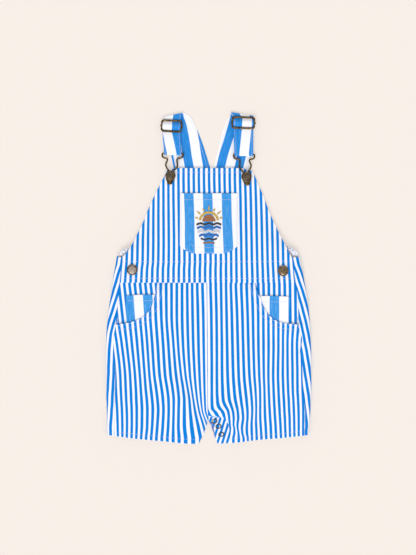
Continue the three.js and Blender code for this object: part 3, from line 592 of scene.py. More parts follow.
def roundEdges(made, width, limit=None):
    edge = made.modifiers.new("softEdge", "BEVEL")
    edge.width = width * mm
    edge.segments = 3
    if limit:
        edge.limit_method = "ANGLE"
        edge.angle_limit = math.radians(limit)
    bpy.ops.object.modifier_apply(modifier=edge.name)


# A smooth piece from points in millimetres, with its grain as a UV map.
def meshPiece(name, places, faces, grain, materials):
    mesh = bpy.data.meshes.new(name)
    mesh.from_pydata(((places + originShift) * mm).tolist(), [], faces)
    layer = mesh.uv_layers.new(name="grain")
    order = np.empty(len(mesh.loops), int)
    mesh.loops.foreach_get("vertex_index", order)
    layer.data.foreach_set("uv", (grain[order] * mm).ravel())
    for material in materials:
        mesh.materials.append(material)
    mesh.polygons.foreach_set("use_smooth", np.ones(len(faces), bool))
    made = bpy.data.objects.new(name, mesh)
    bpy.context.scene.collection.objects.link(made)
    return made


# Closed walls from grids of outer and inner points: cells that isCloth leaves out stay open.
def shellObject(name, grids, materials):
    vertices, faces, uvs, slots = [], [], [], []
    start = 0
    for outer, inner, grain, isCloth, turned in grids:
        rows, columns = outer.shape[:2]
        mask = np.ones((rows - 1, columns - 1), bool) if isCloth is None else isCloth
        index = np.arange(rows * columns).reshape(rows, columns)
        corners = np.stack([index[:-1, :-1], index[:-1, 1:], index[1:, 1:], index[1:, :-1]], axis=-1)
        padded = np.pad(mask, 1)
        beyond = [padded[:-2, 1:-1], padded[1:-1, 2:], padded[2:, 1:-1], padded[1:-1, :-2]]
        size = rows * columns
        parts = [corners[mask], corners[mask][:, ::-1] + size]
        for k in range(4):
            atEdge = mask & ~beyond[k]
            a = corners[..., k][atEdge]
            b = corners[..., (k + 1) % 4][atEdge]
            parts.append(np.stack([b, a, a + size, b + size], axis=-1))
        made = np.concatenate(parts)
        if turned:
            made = made[:, ::-1]
        used, packed = np.unique(made, return_inverse=True)
        allPoints = np.concatenate([outer.reshape(-1, 3), inner.reshape(-1, 3)])
        allGrain = np.concatenate([grain.reshape(-1, 2), grain.reshape(-1, 2)])
        vertices.append(allPoints[used])
        uvs.append(allGrain[used])
        faces.append(packed.reshape(made.shape) + start)
        slot = np.zeros(len(made), int)
        slot[len(parts[0]):len(parts[0]) + len(parts[1])] = 1
        slots.append(slot)
        start += len(used)
    quads = np.concatenate(faces)
    made = meshPiece(name, np.concatenate(vertices), quads.tolist(), np.concatenate(uvs), materials)
    if len(materials) > 1:
        made.data.polygons.foreach_set("material_index", np.concatenate(slots))
    made.data.update()
    return made


# Outer and inner points either side of a middle surface, thinner at the open edges.
def wallGrid(middle, grain, turned=False, isCloth=None, innerExtra=0.0, outerExtra=0.0, half=cloth["half"]):
    across = np.gradient(middle, axis=1)
    onward = np.gradient(middle, axis=0)
    normal = np.cross(across, onward)
    normal /= np.maximum(np.linalg.norm(normal, axis=2, keepdims=True), 1e-9)
    if turned:
        normal = -normal
    mask = np.ones(np.array(middle.shape[:2]) - 1, bool) if isCloth is None else isCloth
    around = np.pad(mask, 1).astype(int)
    full = around[:-1, :-1] + around[1:, :-1] + around[:-1, 1:] + around[1:, 1:] == 4
    share = np.where(full, 1.0, 0.6)[..., None]
    outerHalf, innerHalf = (
        half + np.broadcast_to(extra, middle.shape[:2])[..., None] for extra in (outerExtra, innerExtra)
    )
    return middle + normal * share * outerHalf, middle - normal * share * innerHalf, grain, isCloth, turned


def addPiece(piece, slot, *nodes):
    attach(piece, "root")
    if nodes:
        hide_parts(*nodes)
    return piece


# Raised stitches along a line of points, each a small spindle of a few faces.
stitch = {"pitch": 3.1, "length": 2.3, "halfWidth": 0.27, "height": 0.2, "lift": 0.12}
tackStitch = {**stitch, "pitch": 1.9, "length": 1.6, "lift": 0.3}
overlockStitch = {"pitch": 5.4, "length": 3.4, "halfWidth": 0.42, "height": 0.24, "lift": 0.3}


def upward(count):
    return np.array([[0, 0, 1.0]] * count)


def stitchGrids(run, normals, look=stitch):
    run = np.array(run, float)
    lengths = lengthsAlong(run)
    at = lambda s: np.stack([np.interp(s, lengths, run[:, k]) for k in range(3)])
    up = lambda s: np.stack([np.interp(s, lengths, normals[:, k]) for k in range(3)])
    grids = []
    for number in range(int(lengths[-1] / look["pitch"])):
        start = (number + 0.2) * look["pitch"]
        rings = []
        for t, size in ((0, 0.3), (0.16, 0.85), (0.5, 1.0), (0.84, 0.85), (1, 0.3)):
            centre = at(start + t * look["length"])
            normal = up(start + t * look["length"])
            ahead = at(start + look["length"]) - at(start)
            side = np.cross(ahead, normal)
            side /= np.linalg.norm(side)
            normal = np.cross(side, ahead)
            normal /= np.linalg.norm(normal)
            lift = look["lift"] * math.sin(math.pi * t) - 0.05
            ring = []
            for angle in np.linspace(0, 2 * math.pi, 7):
                ring.append(
                    centre
                    + side * look["halfWidth"] * size * math.cos(angle)
                    + normal * (lift + look["height"] * size * math.sin(angle))
                )
            rings.append(ring)
        grids.append(np.array(rings))
    return grids


# A bar tack: a short run covered by close stitches across it.
def barTack(place, turn, topOf, length=6.5):
    grids = []
    for k in range(10):
        middle = placed(place, turn, 0, (k / 9 - 0.5) * length, 0)
        ends = [placed(middle[:2], turn, sign * 1.0, 0, 0) for sign in (-1, 1)]
        run = np.array([[*e[:2], float(topOf(np.array(e[0]), np.array(e[1])))] for e in ends])
        grids += stitchGrids(run, upward(2), tackStitch)
    return grids


# Many small tubes joined in one mesh, closed at both ends.
def tubesObject(name, tubes, material):
    vertices, faces, uvs = [], [], []
    for tube in tubes:
        rings, sides = tube.shape[0], tube.shape[1] - 1
        start = sum(len(v) for v in vertices)
        vertices.append(tube[:, :sides].reshape(-1, 3))
        angles = np.tile(np.arange(sides) * 0.3, rings)
        runs = np.repeat(np.arange(rings) * 0.55, sides)
        uvs.append(np.stack([angles, runs], axis=1))
        for i in range(rings - 1):
            for j in range(sides):
                a = start + i * sides + j
                b = start + i * sides + (j + 1) % sides
                faces.append((a, a + sides, b + sides, b))
        faces.append(tuple(start + j for j in range(sides)))
        faces.append(tuple(start + (rings - 1) * sides + sides - 1 - j for j in range(sides)))
    made = meshPiece(name, np.concatenate(vertices), faces, np.concatenate(uvs), [material])
    made.data.update()
    return made


# A row of stitches on a surface given as a height over a place in plan.
def stitchesOn(line, topOf):
    flat = resample(line, 1.0)
    x, y = flat[:, 0], flat[:, 1]
    z = topOf(x, y)
    slopeX = topOf(x + 0.5, y) - topOf(x - 0.5, y)
    slopeY = topOf(x, y + 0.5) - topOf(x, y - 0.5)
    normals = np.stack([-slopeX, -slopeY, np.ones_like(x)], axis=1)
    normals /= np.linalg.norm(normals, axis=1, keepdims=True)
    return stitchGrids(np.stack([x, y, z], axis=1), normals)


# The camera looks straight down with a long lens, and the garment fills the photo's frame.
camera = {"lens": 85.0, "sensor": 36.0, "viewHeight": 777.0, "centre": (-1.1, 0.3), "above": 6.0}
distance = camera["lens"] * camera["viewHeight"] / camera["sensor"]
bpy.ops.object.camera_add(location=np.array([*camera["centre"], distance + camera["above"]]) * mm)
eye = bpy.context.object
eye.data.lens = camera["lens"]
eye.data.sensor_width = camera["sensor"]
eye.data.clip_end = 20
bpy.context.scene.camera = eye

# Floor and light
studio = {"floorGlow": 0.5, "world": 0.79, "sun": 1.72, "sunSpread": 32, "sunFrom": (-0.2, -1.1, 1.05)}
bpy.ops.mesh.primitive_plane_add(size=6, location=(0, 0, 0))
floor = bpy.context.object
floor.name = "paleFloor"
floorFinish = Finish("palePaper")
floorGrain = floorFinish.noise(floorFinish.add("TexCoord").outputs["Object"], 900.0, 3.0)
reflecting = darker(colours["floor"], 1 - studio["floorGlow"])
floor.data.materials.append(floorFinish.wear(
    floorFinish.mix(floorGrain, darker(reflecting, 0.99), reflecting), None, 0, 0,
    {
        "Emission Color": (*colours["floor"], 1), "Emission Strength": 1.13 * studio["floorGlow"],
        "Roughness": 0.95, "Specular IOR Level": 0.05,
    },
))

world = bpy.data.worlds.new("softStudio")
bpy.context.scene.world = world
world.use_nodes = True
world.node_tree.nodes["Background"].inputs["Color"].default_value = (0.98, 0.98, 1.0, 1)
world.node_tree.nodes["Background"].inputs["Strength"].default_value = studio["world"]
bpy.ops.object.light_add(type="SUN", location=studio["sunFrom"])
lamp = bpy.context.object
lamp.name = "softDaylight"
lamp.data.energy = studio["sun"]
lamp.data.angle = math.radians(studio["sunSpread"])
lamp.rotation_euler = Vector(studio["sunFrom"]).to_track_quat("Z", "Y").to_euler()
bpy.context.scene.view_settings.view_transform = "Standard"
print("camera, floor and light ready")


# Heights of the front layers. Each gives the middle of its cloth.
fronts = {
    "facingLift": (10, 20),  # distances from the pocket mouth over which a leg is raised
    "coinLift": (8, 18),
    "coinTopSlope": 6.8,
    "coinSide": (129, 8),
    "inseamRoll": 14,
    "foldEase": 9,
    "creaseFade": 1.6,
    "bibRise": (34, 130),
    "bibDroop": (0.6, 26),
}


def rowY(side, y0, x):
    share = np.clip((hemEffectTop - y0) / (hemEffectTop - hemReference), 0, 1)
    return y0 + (hemY(side, x) - hemReference) * share


def hemY(side, x):
    return along(side["hem"], x, "x", "y")


def sideEdge(side, y, gap=0.06):
    return along(side["sideSeam"], y) - side["out"] * gap


def legInnerEdge(side, y):
    seam = along(centreSeam, y) + side["out"] * 0.05
    if side is right:
        return np.where(y < placketFoldTopY, along(placketFold, y), seam)
    return np.where(y < crotchY, along(side["inseam"], y), seam)


def creases(side, x, y):
    height = np.zeros(np.broadcast(x, y).shape)
    for fold in side["folds"]:
        off = distanceTo([fold["from"], fold["to"]], x, y) / fold["halfWidth"]
        height = height + fold["height"] * (1 - ease(off / fronts["creaseFade"]))
    fromSeams = np.minimum(np.abs(x - sideEdge(side, y)), np.abs(x - along(centreSeam, y)))
    fromPocket = distanceTo(points(side["mouth"]), x, y)
    free = ease(fromSeams / 10)
    return (height * ease(fromPocket / 28) + clothWave(x, y) * ease(fromPocket / 12)) * free


def mouthLine(side, distance):
    return beside(resample(points(side["mouth"]), 3), -side["out"] * distance)


def hemLine(side, above, inset):
    edge = along(side["sideSeam"], -222) - side["out"] * inset
    inner = along(placketFold, -226) if side is right else along(side["inseam"], -228)
    x = np.linspace(inner + side["out"] * inset, edge, 40)
    return np.stack([x, hemY(side, x) + above], axis=1)


def legStitchLines(side):
    return mouthLine(side, 2), mouthLine(side, 8), hemLine(side, 6.3, 3)


def legLift(side, x, y):
    fromMouth = distanceTo(points(side["mouth"]), x, y)
    level, slope = fronts["facingLift"]
    overFacing = (1 - ease((fromMouth - level) / slope)) * ease((waistSeamY - y) / (waistSeamY - mouthTopY))
    level, slope = fronts["coinLift"]
    overCoin = (1 - ease((fromMouth - level) / slope)) * ease((mouthTopY - y) / fronts["coinTopSlope"])
    sideX, sideSlope = fronts["coinSide"]
    coinReach = ease((sideX - np.abs(x)) / sideSlope)
    return layerStep * (overFacing + overCoin * coinReach)


def legMiddle(side, x, y):
    fromMouth = distanceTo(points(side["mouth"]), x, y)
    z = heights["front"] + legLift(side, x, y) + creases(side, x, y)
    if side is right:
        z = z - (1 - ease(distanceTo(points(placketFold), x, y) / fronts["foldEase"]))
    crotch = points(side["inseam"])[-2:] if side is right else points(side["inseam"])
    roll = np.sin(np.clip(distanceTo(crotch, x, y) / fronts["inseamRoll"], 0, 1) * math.pi / 2)
    lowest = 2 * layerStep if side is right else layerStep
    z = lowest + (z - lowest) * roll + cloth["wall"] / 2
    for line in legStitchLines(side):
        z = z - seamDip(line, x, y)
    z = z + 0.7 * np.exp(-((fromMouth / 1.7) ** 2)) * ease((waistSeamY - 3 - y) / 7)
    atSeams = np.minimum(np.abs(x - sideEdge(side, y)), np.abs(x - along(centreSeam, y)))
    return z - 0.35 * np.exp(-((atSeams / 1.3) ** 2)) * ease((y - crotchY) / 6)


def placketUnder(x, y):
    away = distanceTo(points(right["inseam"]), x, y) / placket["roll"]
    rise = np.sin(np.clip(away, 0, 1) * math.pi / 2)
    underLeg = legMiddle(right, x, y) - cloth["wall"] / 2 - layerStep
    return np.maximum(layerStep, np.minimum(layerStep + placket["height"] * rise, underLeg))


def placketMiddle(x, y):
    return placketUnder(x, y) + cloth["wall"] / 2


def bibUnder(x, y):
    riseFrom, riseTo = fronts["bibRise"]
    risen = ease((y - riseFrom) / (riseTo - riseFrom))
    level = heights["bibWaist"] + (heights["bibTop"] - heights["bibWaist"]) * risen
    fromSide = np.minimum(x - along(bibEdges, y, "y", "left"), along(bibEdges, y, "y", "right") - x)
    share, reach = fronts["bibDroop"]
    droop = share * (1 - ease(fromSide / reach)) * ease((y - riseFrom) / reach)
    return heights["bibTop"] + (level - heights["bibTop"]) * (1 - droop)


def bibTopLine(above):
    x = np.linspace(-60, 58, 60)
    fromCorner = np.minimum(x + 61.2, 59.6 - x) / bibTop["cornerLength"]
    y = bibTop["cornerY"] + (bibTop["middleY"] - bibTop["cornerY"]) * ease(fromCorner)
    return np.stack([x, y + above], axis=1)


bibStitchLines = [
    bibTopLine(-6.2),
    np.array([(-121, 22.7), (-60, 22.2), (0, 22.4), (60, 22.2), (116, 22.7)]),
    np.array([(-123, -1.2), (-40, -0.8), (60, -1.2), (119, -1)]),
]


def bibMiddle(x, y):
    z = bibUnder(x, y) + cloth["wall"] / 2
    fromPocketArea = ease((np.abs(x) - 44) / 8)
    settle = 0.25 + 0.75 * ease((112 - y) / 50)
    ripple = (clothWave(x, y) + 0.1) * settle * (0.25 + 0.75 * fromPocketArea)
    z = z + np.maximum(ripple, -0.1)
    for line in bibStitchLines:
        z = z - seamDip(line, x, y, 0.18)
    return z


def facingMiddle(x, y):
    side = left if np.mean(x) < 0 else right
    atSeam = np.exp(-(((x - sideEdge(side, y)) / 1.3) ** 2))
    return heights["front"] + cloth["wall"] / 2 - 0.35 * atSeam


def coinMiddle(x, y):
    side = left if np.mean(x) < 0 else right
    fromLeg = distanceTo(points(side["mouth"]), x, y)
    fromEdge = np.abs(x - along(side["coinEdge"], y))
    lip = np.exp(-(((side["coinTop"] - y) / 2.6) ** 2)) * ease((fromLeg - 1) / 7) * ease(fromEdge / 7)
    return facingMiddle(x, y) + layerStep + 0.8 * lip


def pocketMiddle(x, y):
    atEdge = np.minimum(bibPocket["halfWidth"] - np.abs(x), bibPocket["top"] - y)
    puff = 0.35 * ease(atEdge / 14)
    lip = np.exp(-(((bibPocket["top"] - y) / 3) ** 2)) * ease((bibPocket["halfWidth"] - np.abs(x)) / 12)
    return bibMiddle(x, y) + layerStep - 0.15 + puff + 0.7 * lip


# Where a stripe runs, as a number that grows by one from each stripe to the next.
def stripeNumber(table, x, y):
    numbers = [k for k in table if k != "y"]
    lines = np.stack([along(table, y, "y", k) + 0 * x for k in numbers])
    number = np.zeros(np.broadcast(x, y).shape)
    for k in range(len(numbers) - 1):
        share = (x - lines[k]) / (lines[k + 1] - lines[k])
        inCell = np.clip(share, 0 if k else -9, 1 if k < len(numbers) - 2 else 9)
        number = number + inCell * (numbers[k + 1] - numbers[k])
    return numbers[0] + number


def grainPair(across, y):
    return np.stack([across, y + 0 * across], axis=-1)


def numberedGrain(table):
    return lambda x, y: grainPair(stripeNumber(table, x, y) * cloth["stripe"], y)


# Stripes drawn straight, from one stripe's place and its lean, at the width that shows.
def leaningGrain(look, period):
    return lambda x, y: grainPair(
        (x - look["at"] - look["lean"] * (y - look["atY"])) / look["drawn"] * period, y
    )


def surfaceGrid(x, y, middleOf, grainOf, turned, **more):
    middle = np.stack([x, y, middleOf(x, y)], axis=-1)
    return wallGrid(middle, grainOf(x, y), turned, **more)


# Front legs
threadRuns = {"legs": [], "bib": [], "pockets": [], "overlock": [], "straps": []}
hemFold = {"height": 7.2, "edge": 0.9, "legInside": 0.85, "legOutside": 0.12, "backInside": 0.5}


def legRows(side):
    foot = spread(hemReference, pocketFootY)
    if side is right:
        bend = np.arange(-203.0, -190.5, 0.5)
        foot = np.sort(np.concatenate([foot[(foot < bend[0] - 0.5) | (foot > bend[-1] + 0.5)], bend]))
    mouthRun = resample(points(side["mouth"]), cloth["step"])
    return np.concatenate([foot[:-1], mouthRun[:, 1]])


for side in sides:
    y0 = legRows(side)[:, None]
    inner = legInnerEdge(side, rowY(side, y0, legInnerEdge(side, y0)))
    outer = np.where(y0 > pocketFootY, along(side["mouth"], y0), sideEdge(side, y0))
    t = (spread(0, 132) / 132)[None, :]
    x = inner + (outer - inner) * t
    y = rowY(side, y0, x)
    inHem = ease((hemY(side, x) + hemFold["height"] - y) / hemFold["edge"])
    room = ease((np.abs(x - inner) - 6) / 10)
    grid = surfaceGrid(
        x, y, lambda a, b: legMiddle(side, a, b), numberedGrain(side["grain"]), side["out"] < 0,
        innerExtra=hemFold["legInside"] * inHem * room, outerExtra=hemFold["legOutside"] * inHem,
    )
    leg = shellObject("frontLeg_" + side["name"], [grid], [finishes["narrow"], finishes["inside"]])
    addPiece(leg, "stripe_narrow", "front_leg_" + side["name"])
    top = lambda a, b: legMiddle(side, a, b) + cloth["half"]
    for line in legStitchLines(side):
        threadRuns["legs"] += stitchesOn(line, top)
print("front legs made")

# Facings and coin pockets in the mouths of the side pockets
facing = {"foot": -74, "tuckDown": 8, "tuckIn": 6, "grainY": -14, "drawnStripe": 7.4}
coin = {"foot": -66, "tuckDown": 4, "tuckIn": 3, "hem": 8, "grainY": -24, "drawnStripe": 26.3}
for side in sides:
    name = side["name"]
    out = side["out"]
    y = spread(facing["foot"], legTopY)[:, None]
    tucked = along(side["mouth"], y + facing["tuckDown"]) - out * facing["tuckIn"]
    flush = along(side["mouth"], y) + out * 0.1
    share = ease((mouthTopY + 1 - y) / 2)
    inner = flush + (tucked - flush) * share
    t = (spread(0, 58) / 58)[None, :]
    x = sideEdge(side, y) + (inner - sideEdge(side, y)) * t
    look = {**side["facingGrain"], "atY": facing["grainY"], "drawn": facing["drawnStripe"]}
    grain = leaningGrain(look, cloth["stripe"])
    grid = surfaceGrid(x, y + 0 * x, facingMiddle, grain, out > 0)
    piece = shellObject("pocketFacing_" + name, [grid], [finishes["narrow"], finishes["inside"]])
    addPiece(piece, "stripe_narrow", "pocket_facing_" + name)

    y = spread(coin["foot"], side["coinTop"])[:, None]
    inner = along(side["mouth"], y + coin["tuckDown"]) - out * coin["tuckIn"]
    t = (spread(0, 42) / 42)[None, :]
    edge = along(side["coinEdge"], y)
    x = edge + (inner - edge) * t
    look = {**side["coinGrain"], "atY": coin["grainY"], "drawn": coin["drawnStripe"]}
    grain = leaningGrain(look, cloth["wideStripe"])
    coinY = y + 0.5 * np.sin((x - 70) / 9) * ease((y + 40) / 16)
    grid = surfaceGrid(x, coinY, coinMiddle, grain, out > 0)
    piece = shellObject("coinPocket_" + name, [grid], [finishes["wide"], finishes["inside"]])
    addPiece(piece, "stripe_wide", "coin_pocket_" + name)
    lineX = np.linspace(side["coinEdge"]["x"][1] - out * 2, along(side["mouth"], side["coinTop"]), 20)
    hem = np.stack([lineX, np.full(20, side["coinTop"] - coin["hem"])], axis=1)
    threadRuns["pockets"] += stitchesOn(hem, lambda a, b: coinMiddle(a, b) + cloth["half"])
    tackX, tackY, tackTurn = side["barTack"]
    faceTop = lambda a, b: facingMiddle(a, b) + cloth["half"]
    threadRuns["pockets"] += barTack((tackX, tackY), tackTurn, faceTop)
print("side pockets made")

# The placket on the right inseam
y0 = spread(hemReference, placket["topY"])[:, None]
innerX = along(right["inseam"], rowY(right, y0, along(right["inseam"], y0)))
outerY = rowY(right, y0, along(placketFold, y0))
outerX = along(placketFold, np.minimum(outerY, placket["tuckTopY"])) + placket["tuck"]
t = (spread(0, 22) / 22)[None, :]
x = innerX + (outerX - innerX) * t
y = rowY(right, y0, x)

placketGrain = {"at": 21.8, "lean": 0.3, "atY": -200, "drawn": 6.5}
grid = surfaceGrid(x, y, placketMiddle, leaningGrain(placketGrain, cloth["stripe"]), False)
piece = shellObject("inseamPlacket", [grid], [finishes["narrow"], finishes["inside"]])
addPiece(piece, "stripe_narrow", "inseam_placket")
zigzag = {"from": -202.6, "to": -223.0, "teeth": 26, "near": -0.5, "far": 4.8}
for k in range(zigzag["teeth"]):
    step = (zigzag["to"] - zigzag["from"]) / zigzag["teeth"]
    toothY = np.array([zigzag["from"] + step * k, zigzag["from"] + step * (k + 0.9)])
    narrowing = 1 - 0.75 * k / zigzag["teeth"]
    reach = np.array([zigzag["near"], zigzag["near"] + (zigzag["far"] - zigzag["near"]) * narrowing])
    toothX = along(right["inseam"], toothY) + reach
    tooth = np.stack([toothX, toothY, placketMiddle(toothX, toothY) + cloth["half"]], axis=1)
    length = float(np.linalg.norm(tooth[1] - tooth[0]))
    look = {**overlockStitch, "halfWidth": 0.34, "lift": 0.14}
    look.update(pitch=length * 0.99, length=length * 0.76)
    threadRuns["overlock"] += stitchGrids(tooth, upward(2), look)
print("placket made")

# Bib
y0 = spread(waistSeamY, bibTop["cornerY"])[:, None]
edges = [along(bibEdges, y0, "y", key) for key in ("left", "right")]
t = (spread(0, 220) / 220)[None, :]
x = edges[0] + (edges[1] - edges[0]) * t
fromCorner = np.minimum(x - edges[0], edges[1] - x) / bibTop["cornerLength"]
arch = (bibTop["middleY"] - bibTop["cornerY"]) * ease(fromCorner)
y = y0 + arch * ease((y0 - bibTop["archFrom"]) / (bibTop["cornerY"] - bibTop["archFrom"]))
topHem = ease((y0 - bibTop["hemFrom"]) / 0.9) + 0 * x
grid = surfaceGrid(x, y, bibMiddle, numberedGrain(bibStripes), False, outerExtra=0.22 * topHem)
bib = shellObject("frontBib", [grid], [finishes["bib"], finishes["inside"]])
addPiece(bib, "stripe_narrow", "front_bib")
bibTopSurface = lambda a, b: bibMiddle(a, b) + cloth["half"] + 0.2 * ease((b - bibTop["hemFrom"]) / 0.9)
for line in bibStitchLines:
    threadRuns["bib"] += stitchesOn(line, bibTopSurface)

# Bib pocket


def pocketFoot(across):
    roundWidth = bibPocket["halfWidth"] - bibPocket["roundFrom"]
    bent = np.clip((np.abs(across) - bibPocket["roundFrom"]) / roundWidth, 0, 1)
    return bibPocket["bottom"] + bibPocket["cornerRise"] * bent ** 2


depth = bibPocket["top"] - bibPocket["bottom"]
v = (spread(0, depth) / depth)[:, None]
x = spread(-bibPocket["halfWidth"], bibPocket["halfWidth"])[None, :] + 0 * v
y = pocketFoot(x) + (bibPocket["top"] - pocketFoot(x)) * v
pocketStripe = {"y": [33, 52.8, 80.8, 119], "x": [0.7, 0.1, -0.7, -1.8], "period": [26.8, 26.7, 26.2, 26.4]}


def pocketGrain(x, y):
    period = along(pocketStripe, y, "y", "period")
    return grainPair((x - along(pocketStripe, y)) / period * cloth["wideStripe"], y)


pocketHem = ease((y - bibPocket["hemFrom"]) / 0.8)
grid = surfaceGrid(x, y, pocketMiddle, pocketGrain, False, outerExtra=0.22 * pocketHem)
piece = shellObject("bibPocket", [grid], [finishes["wide"], finishes["inside"]])
addPiece(piece, "stripe_wide", "bib_pocket")
pocketTop = lambda a, b: pocketMiddle(a, b) + cloth["half"] + 0.2 * ease((b - bibPocket["hemFrom"]) / 0.8)


def pocketOutline(inset):
    half = bibPocket["halfWidth"] - inset
    across = np.linspace(-half, half, 60)
    foot = inset + pocketFoot(across * bibPocket["halfWidth"] / half)
    return np.concatenate([
        [(-half, bibPocket["top"] - 1.5)],
        np.stack([across, foot], axis=1),
        [(half, bibPocket["top"] - 1.5)],
    ])


pocketLines = [
    pocketOutline(1.7),
    np.array([(-38.5, 109.3), (0, 109.1), (38.5, 109.3)]),
    pocketOutline(8.6)[6:-6],
]
for line in pocketLines:
    threadRuns["pockets"] += stitchesOn(line, pocketTop)
print("bib and bib pocket made")

# Back halves, wrapped round the sides. The columns run from the centre seam over the flat part,
# round the side and on under the bib.
roundSide = {"flat": 46, "roll": 24, "lap": 15, "reach": 22, "cornerLift": 6.0}
underlapFromY = -3.4


def backMiddleZ(x, y, fromInner):
    swell = 1.0 + 0.5 * np.sin(0.045 * x + 0.6) * np.sin(0.03 * y + 1.1)
    free = ease((fromInner - 18) / 20) * ease((108 - y) / 24) * ease((y + 226) / 14)
    wave = 0.9 * swell * np.maximum(np.sin(0.03 * x - 0.024 * y + 0.8) * np.sin(0.043 * y + 0.5), 0)
    return 0.5 + wave * free


for side in sides:
    name, out = side["name"], side["out"]
    legPart = legRows(side)
    lapPart = spread(underlapFromY, flapTopY)
    neckPart = spread(flapTopY, backTopY, 1.8)[1:]
    y0 = np.concatenate([legPart, lapPart[lapPart > legPart[-1] + 0.2], neckPart])[:, None]
    radius = heights["sideRadius"] - cloth["wall"] / 2
    inseamX = along(side["inseam"], y0)
    inseamY = rowY(side, y0, inseamX)
    inner = np.where(
        inseamY < crotchY,
        along(side["inseam"], inseamY) + out * 0.4,
        along(backSeam, y0) + out * 0.05,
    )
    foldX = along(side["fold"], y0)
    rollX = foldX - out * heights["sideRadius"]
    armhole = {
        "y": [flapTopY] + side["armhole"]["y"],
        "x": [float(along(side["fold"], flapTopY) - out * heights["sideRadius"])] + side["armhole"]["x"],
    }
    bulge = side["cornerBulge"] * np.sin(math.pi * np.clip((y0 - flapTopY) / 14, 0, 1) ** 0.6)
    outer = np.where(y0 > flapTopY, along(armhole, y0) + out * bulge, rollX)
    t = (spread(0, 120, 120 / roundSide["flat"]) / 120)[None, :]
    flatX = inner + (outer - inner) * t
    flatY = rowY(side, y0, flatX)
    fromSide = np.abs(outer - flatX)
    corner = np.sin(math.pi * np.clip((flatY - flapTopY + 6) / 26, 0, 1)) * (1 - ease(fromSide / 22))
    crumple = np.sin(1.25 * flatX + 0.8 * flatY) * np.sin(0.7 * flatY + 0.5)
    corner = corner * (1 + 0.3 * crumple * (1 - ease((fromSide - 8) / 8)))
    flatZ = backMiddleZ(flatX, flatY, np.minimum(np.abs(flatX - inner), fromSide + 12))
    flatZ = flatZ + roundSide["cornerLift"] * corner * (y0 > 0)
    angle = np.linspace(0, math.pi, roundSide["roll"] + 1)[None, 1:]
    soft = 0.16 * np.sin(0.11 * y0 + 0.5) + 0.1 * np.sin(0.29 * y0)
    rollOut = rollX + out * (radius + soft) * np.sin(angle)
    nearTop = ease((y0 - 12) / (flapTopY - 12))
    drop = flapTopDrop * np.clip(angle / math.pi - 0.5, 0, 1) * nearTop
    rollY = rowY(side, y0, rollOut) - drop
    rollZ = heights["sideRadius"] - radius * np.cos(angle) + 0 * y0
    seamX = along(side["sideSeam"], y0) + out * 0.05
    overlap = np.maximum(np.abs(seamX - rollX), 0.6)
    topShares = np.array([0.35, 0.7, 0.92, 1.0])[None, :]
    topX = rollX - out * overlap * topShares
    topY = rowY(side, y0, topX) - flapTopDrop * 0.5 * nearTop
    seamDrop = 0.35 * np.exp(-(((1 - topShares) * overlap / 1.3) ** 2)) * (y0 < -5)
    seamLift = legLift(side, seamX, y0) * ease((-61 - y0) / 6) * ease(topShares * 1.1)
    topZ = heights["front"] + 0.5 - seamDrop + seamLift
    lapShare = (np.arange(roundSide["lap"]) + 1)[None, :] / roundSide["lap"]
    lapX = seamX - out * roundSide["reach"] * lapShare
    lapY = rowY(side, y0, lapX) - flapTopDrop * nearTop
    lapZ = heights["front"] + 0.5 + 0 * lapX
    x = np.concatenate([flatX, rollOut, topX, lapX], axis=1)
    y = np.concatenate([flatY, rollY, topY, lapY], axis=1)
    z = np.concatenate([flatZ, rollZ, topZ, lapZ], axis=1)
    middle = np.stack([x, y, z], axis=-1)
    flatCount, seamAt = flatX.shape[1], flatX.shape[1] + roundSide["roll"] + 3
    rowNow, columnNow = np.meshgrid(np.arange(len(y0) - 1), np.arange(x.shape[1] - 1), indexing="ij")
    rowTop = np.minimum(y0[rowNow, 0], y0[rowNow + 1, 0])
    isBelowTop = y0[rowNow + 1, 0] <= flapTopY + 0.01
    isCloth = np.where(
        columnNow >= seamAt,
        (rowTop >= underlapFromY - 0.01) & isBelowTop,
        (columnNow < flatCount - 1) | isBelowTop,
    )
    level = middle.copy()
    level[:, :flatCount, 2] = 0.5
    steps = np.linalg.norm(np.diff(level, axis=1), axis=2)
    run = np.concatenate([np.zeros((len(y0), 1)), np.cumsum(steps, axis=1)], axis=1)
    outermost = flatCount - 1 + roundSide["roll"] // 2
    arc = run - run[:, outermost:outermost + 1]
    lean = side["flapGrain"]
    grain = np.stack([arc - along(lean, y0, "y", "s"), y], axis=-1)
    inHem = ease((hemY(side, x) + hemFold["height"] - y) / hemFold["edge"])
    inHem = inHem * ease((np.abs(x - inner) - 8) / 10)
    grid = wallGrid(middle, grain, out > 0, isCloth, innerExtra=hemFold["backInside"] * inHem)
    piece = shellObject("backHalf_" + name, [grid], [finishes["narrow"], finishes["inside"]])
    addPiece(piece, "stripe_narrow", "back_" + name)
    armholeRows = np.nonzero((y0[:, 0] > flapTopY + 1) & (y0[:, 0] < backTopY - 6))[0]
    edgeRun = middle[armholeRows, flatCount - 3] + np.array([0, 0, cloth["half"]])
    threadRuns["overlock"] += stitchGrids(edgeRun, upward(len(edgeRun)), overlockStitch)
print("back halves made")

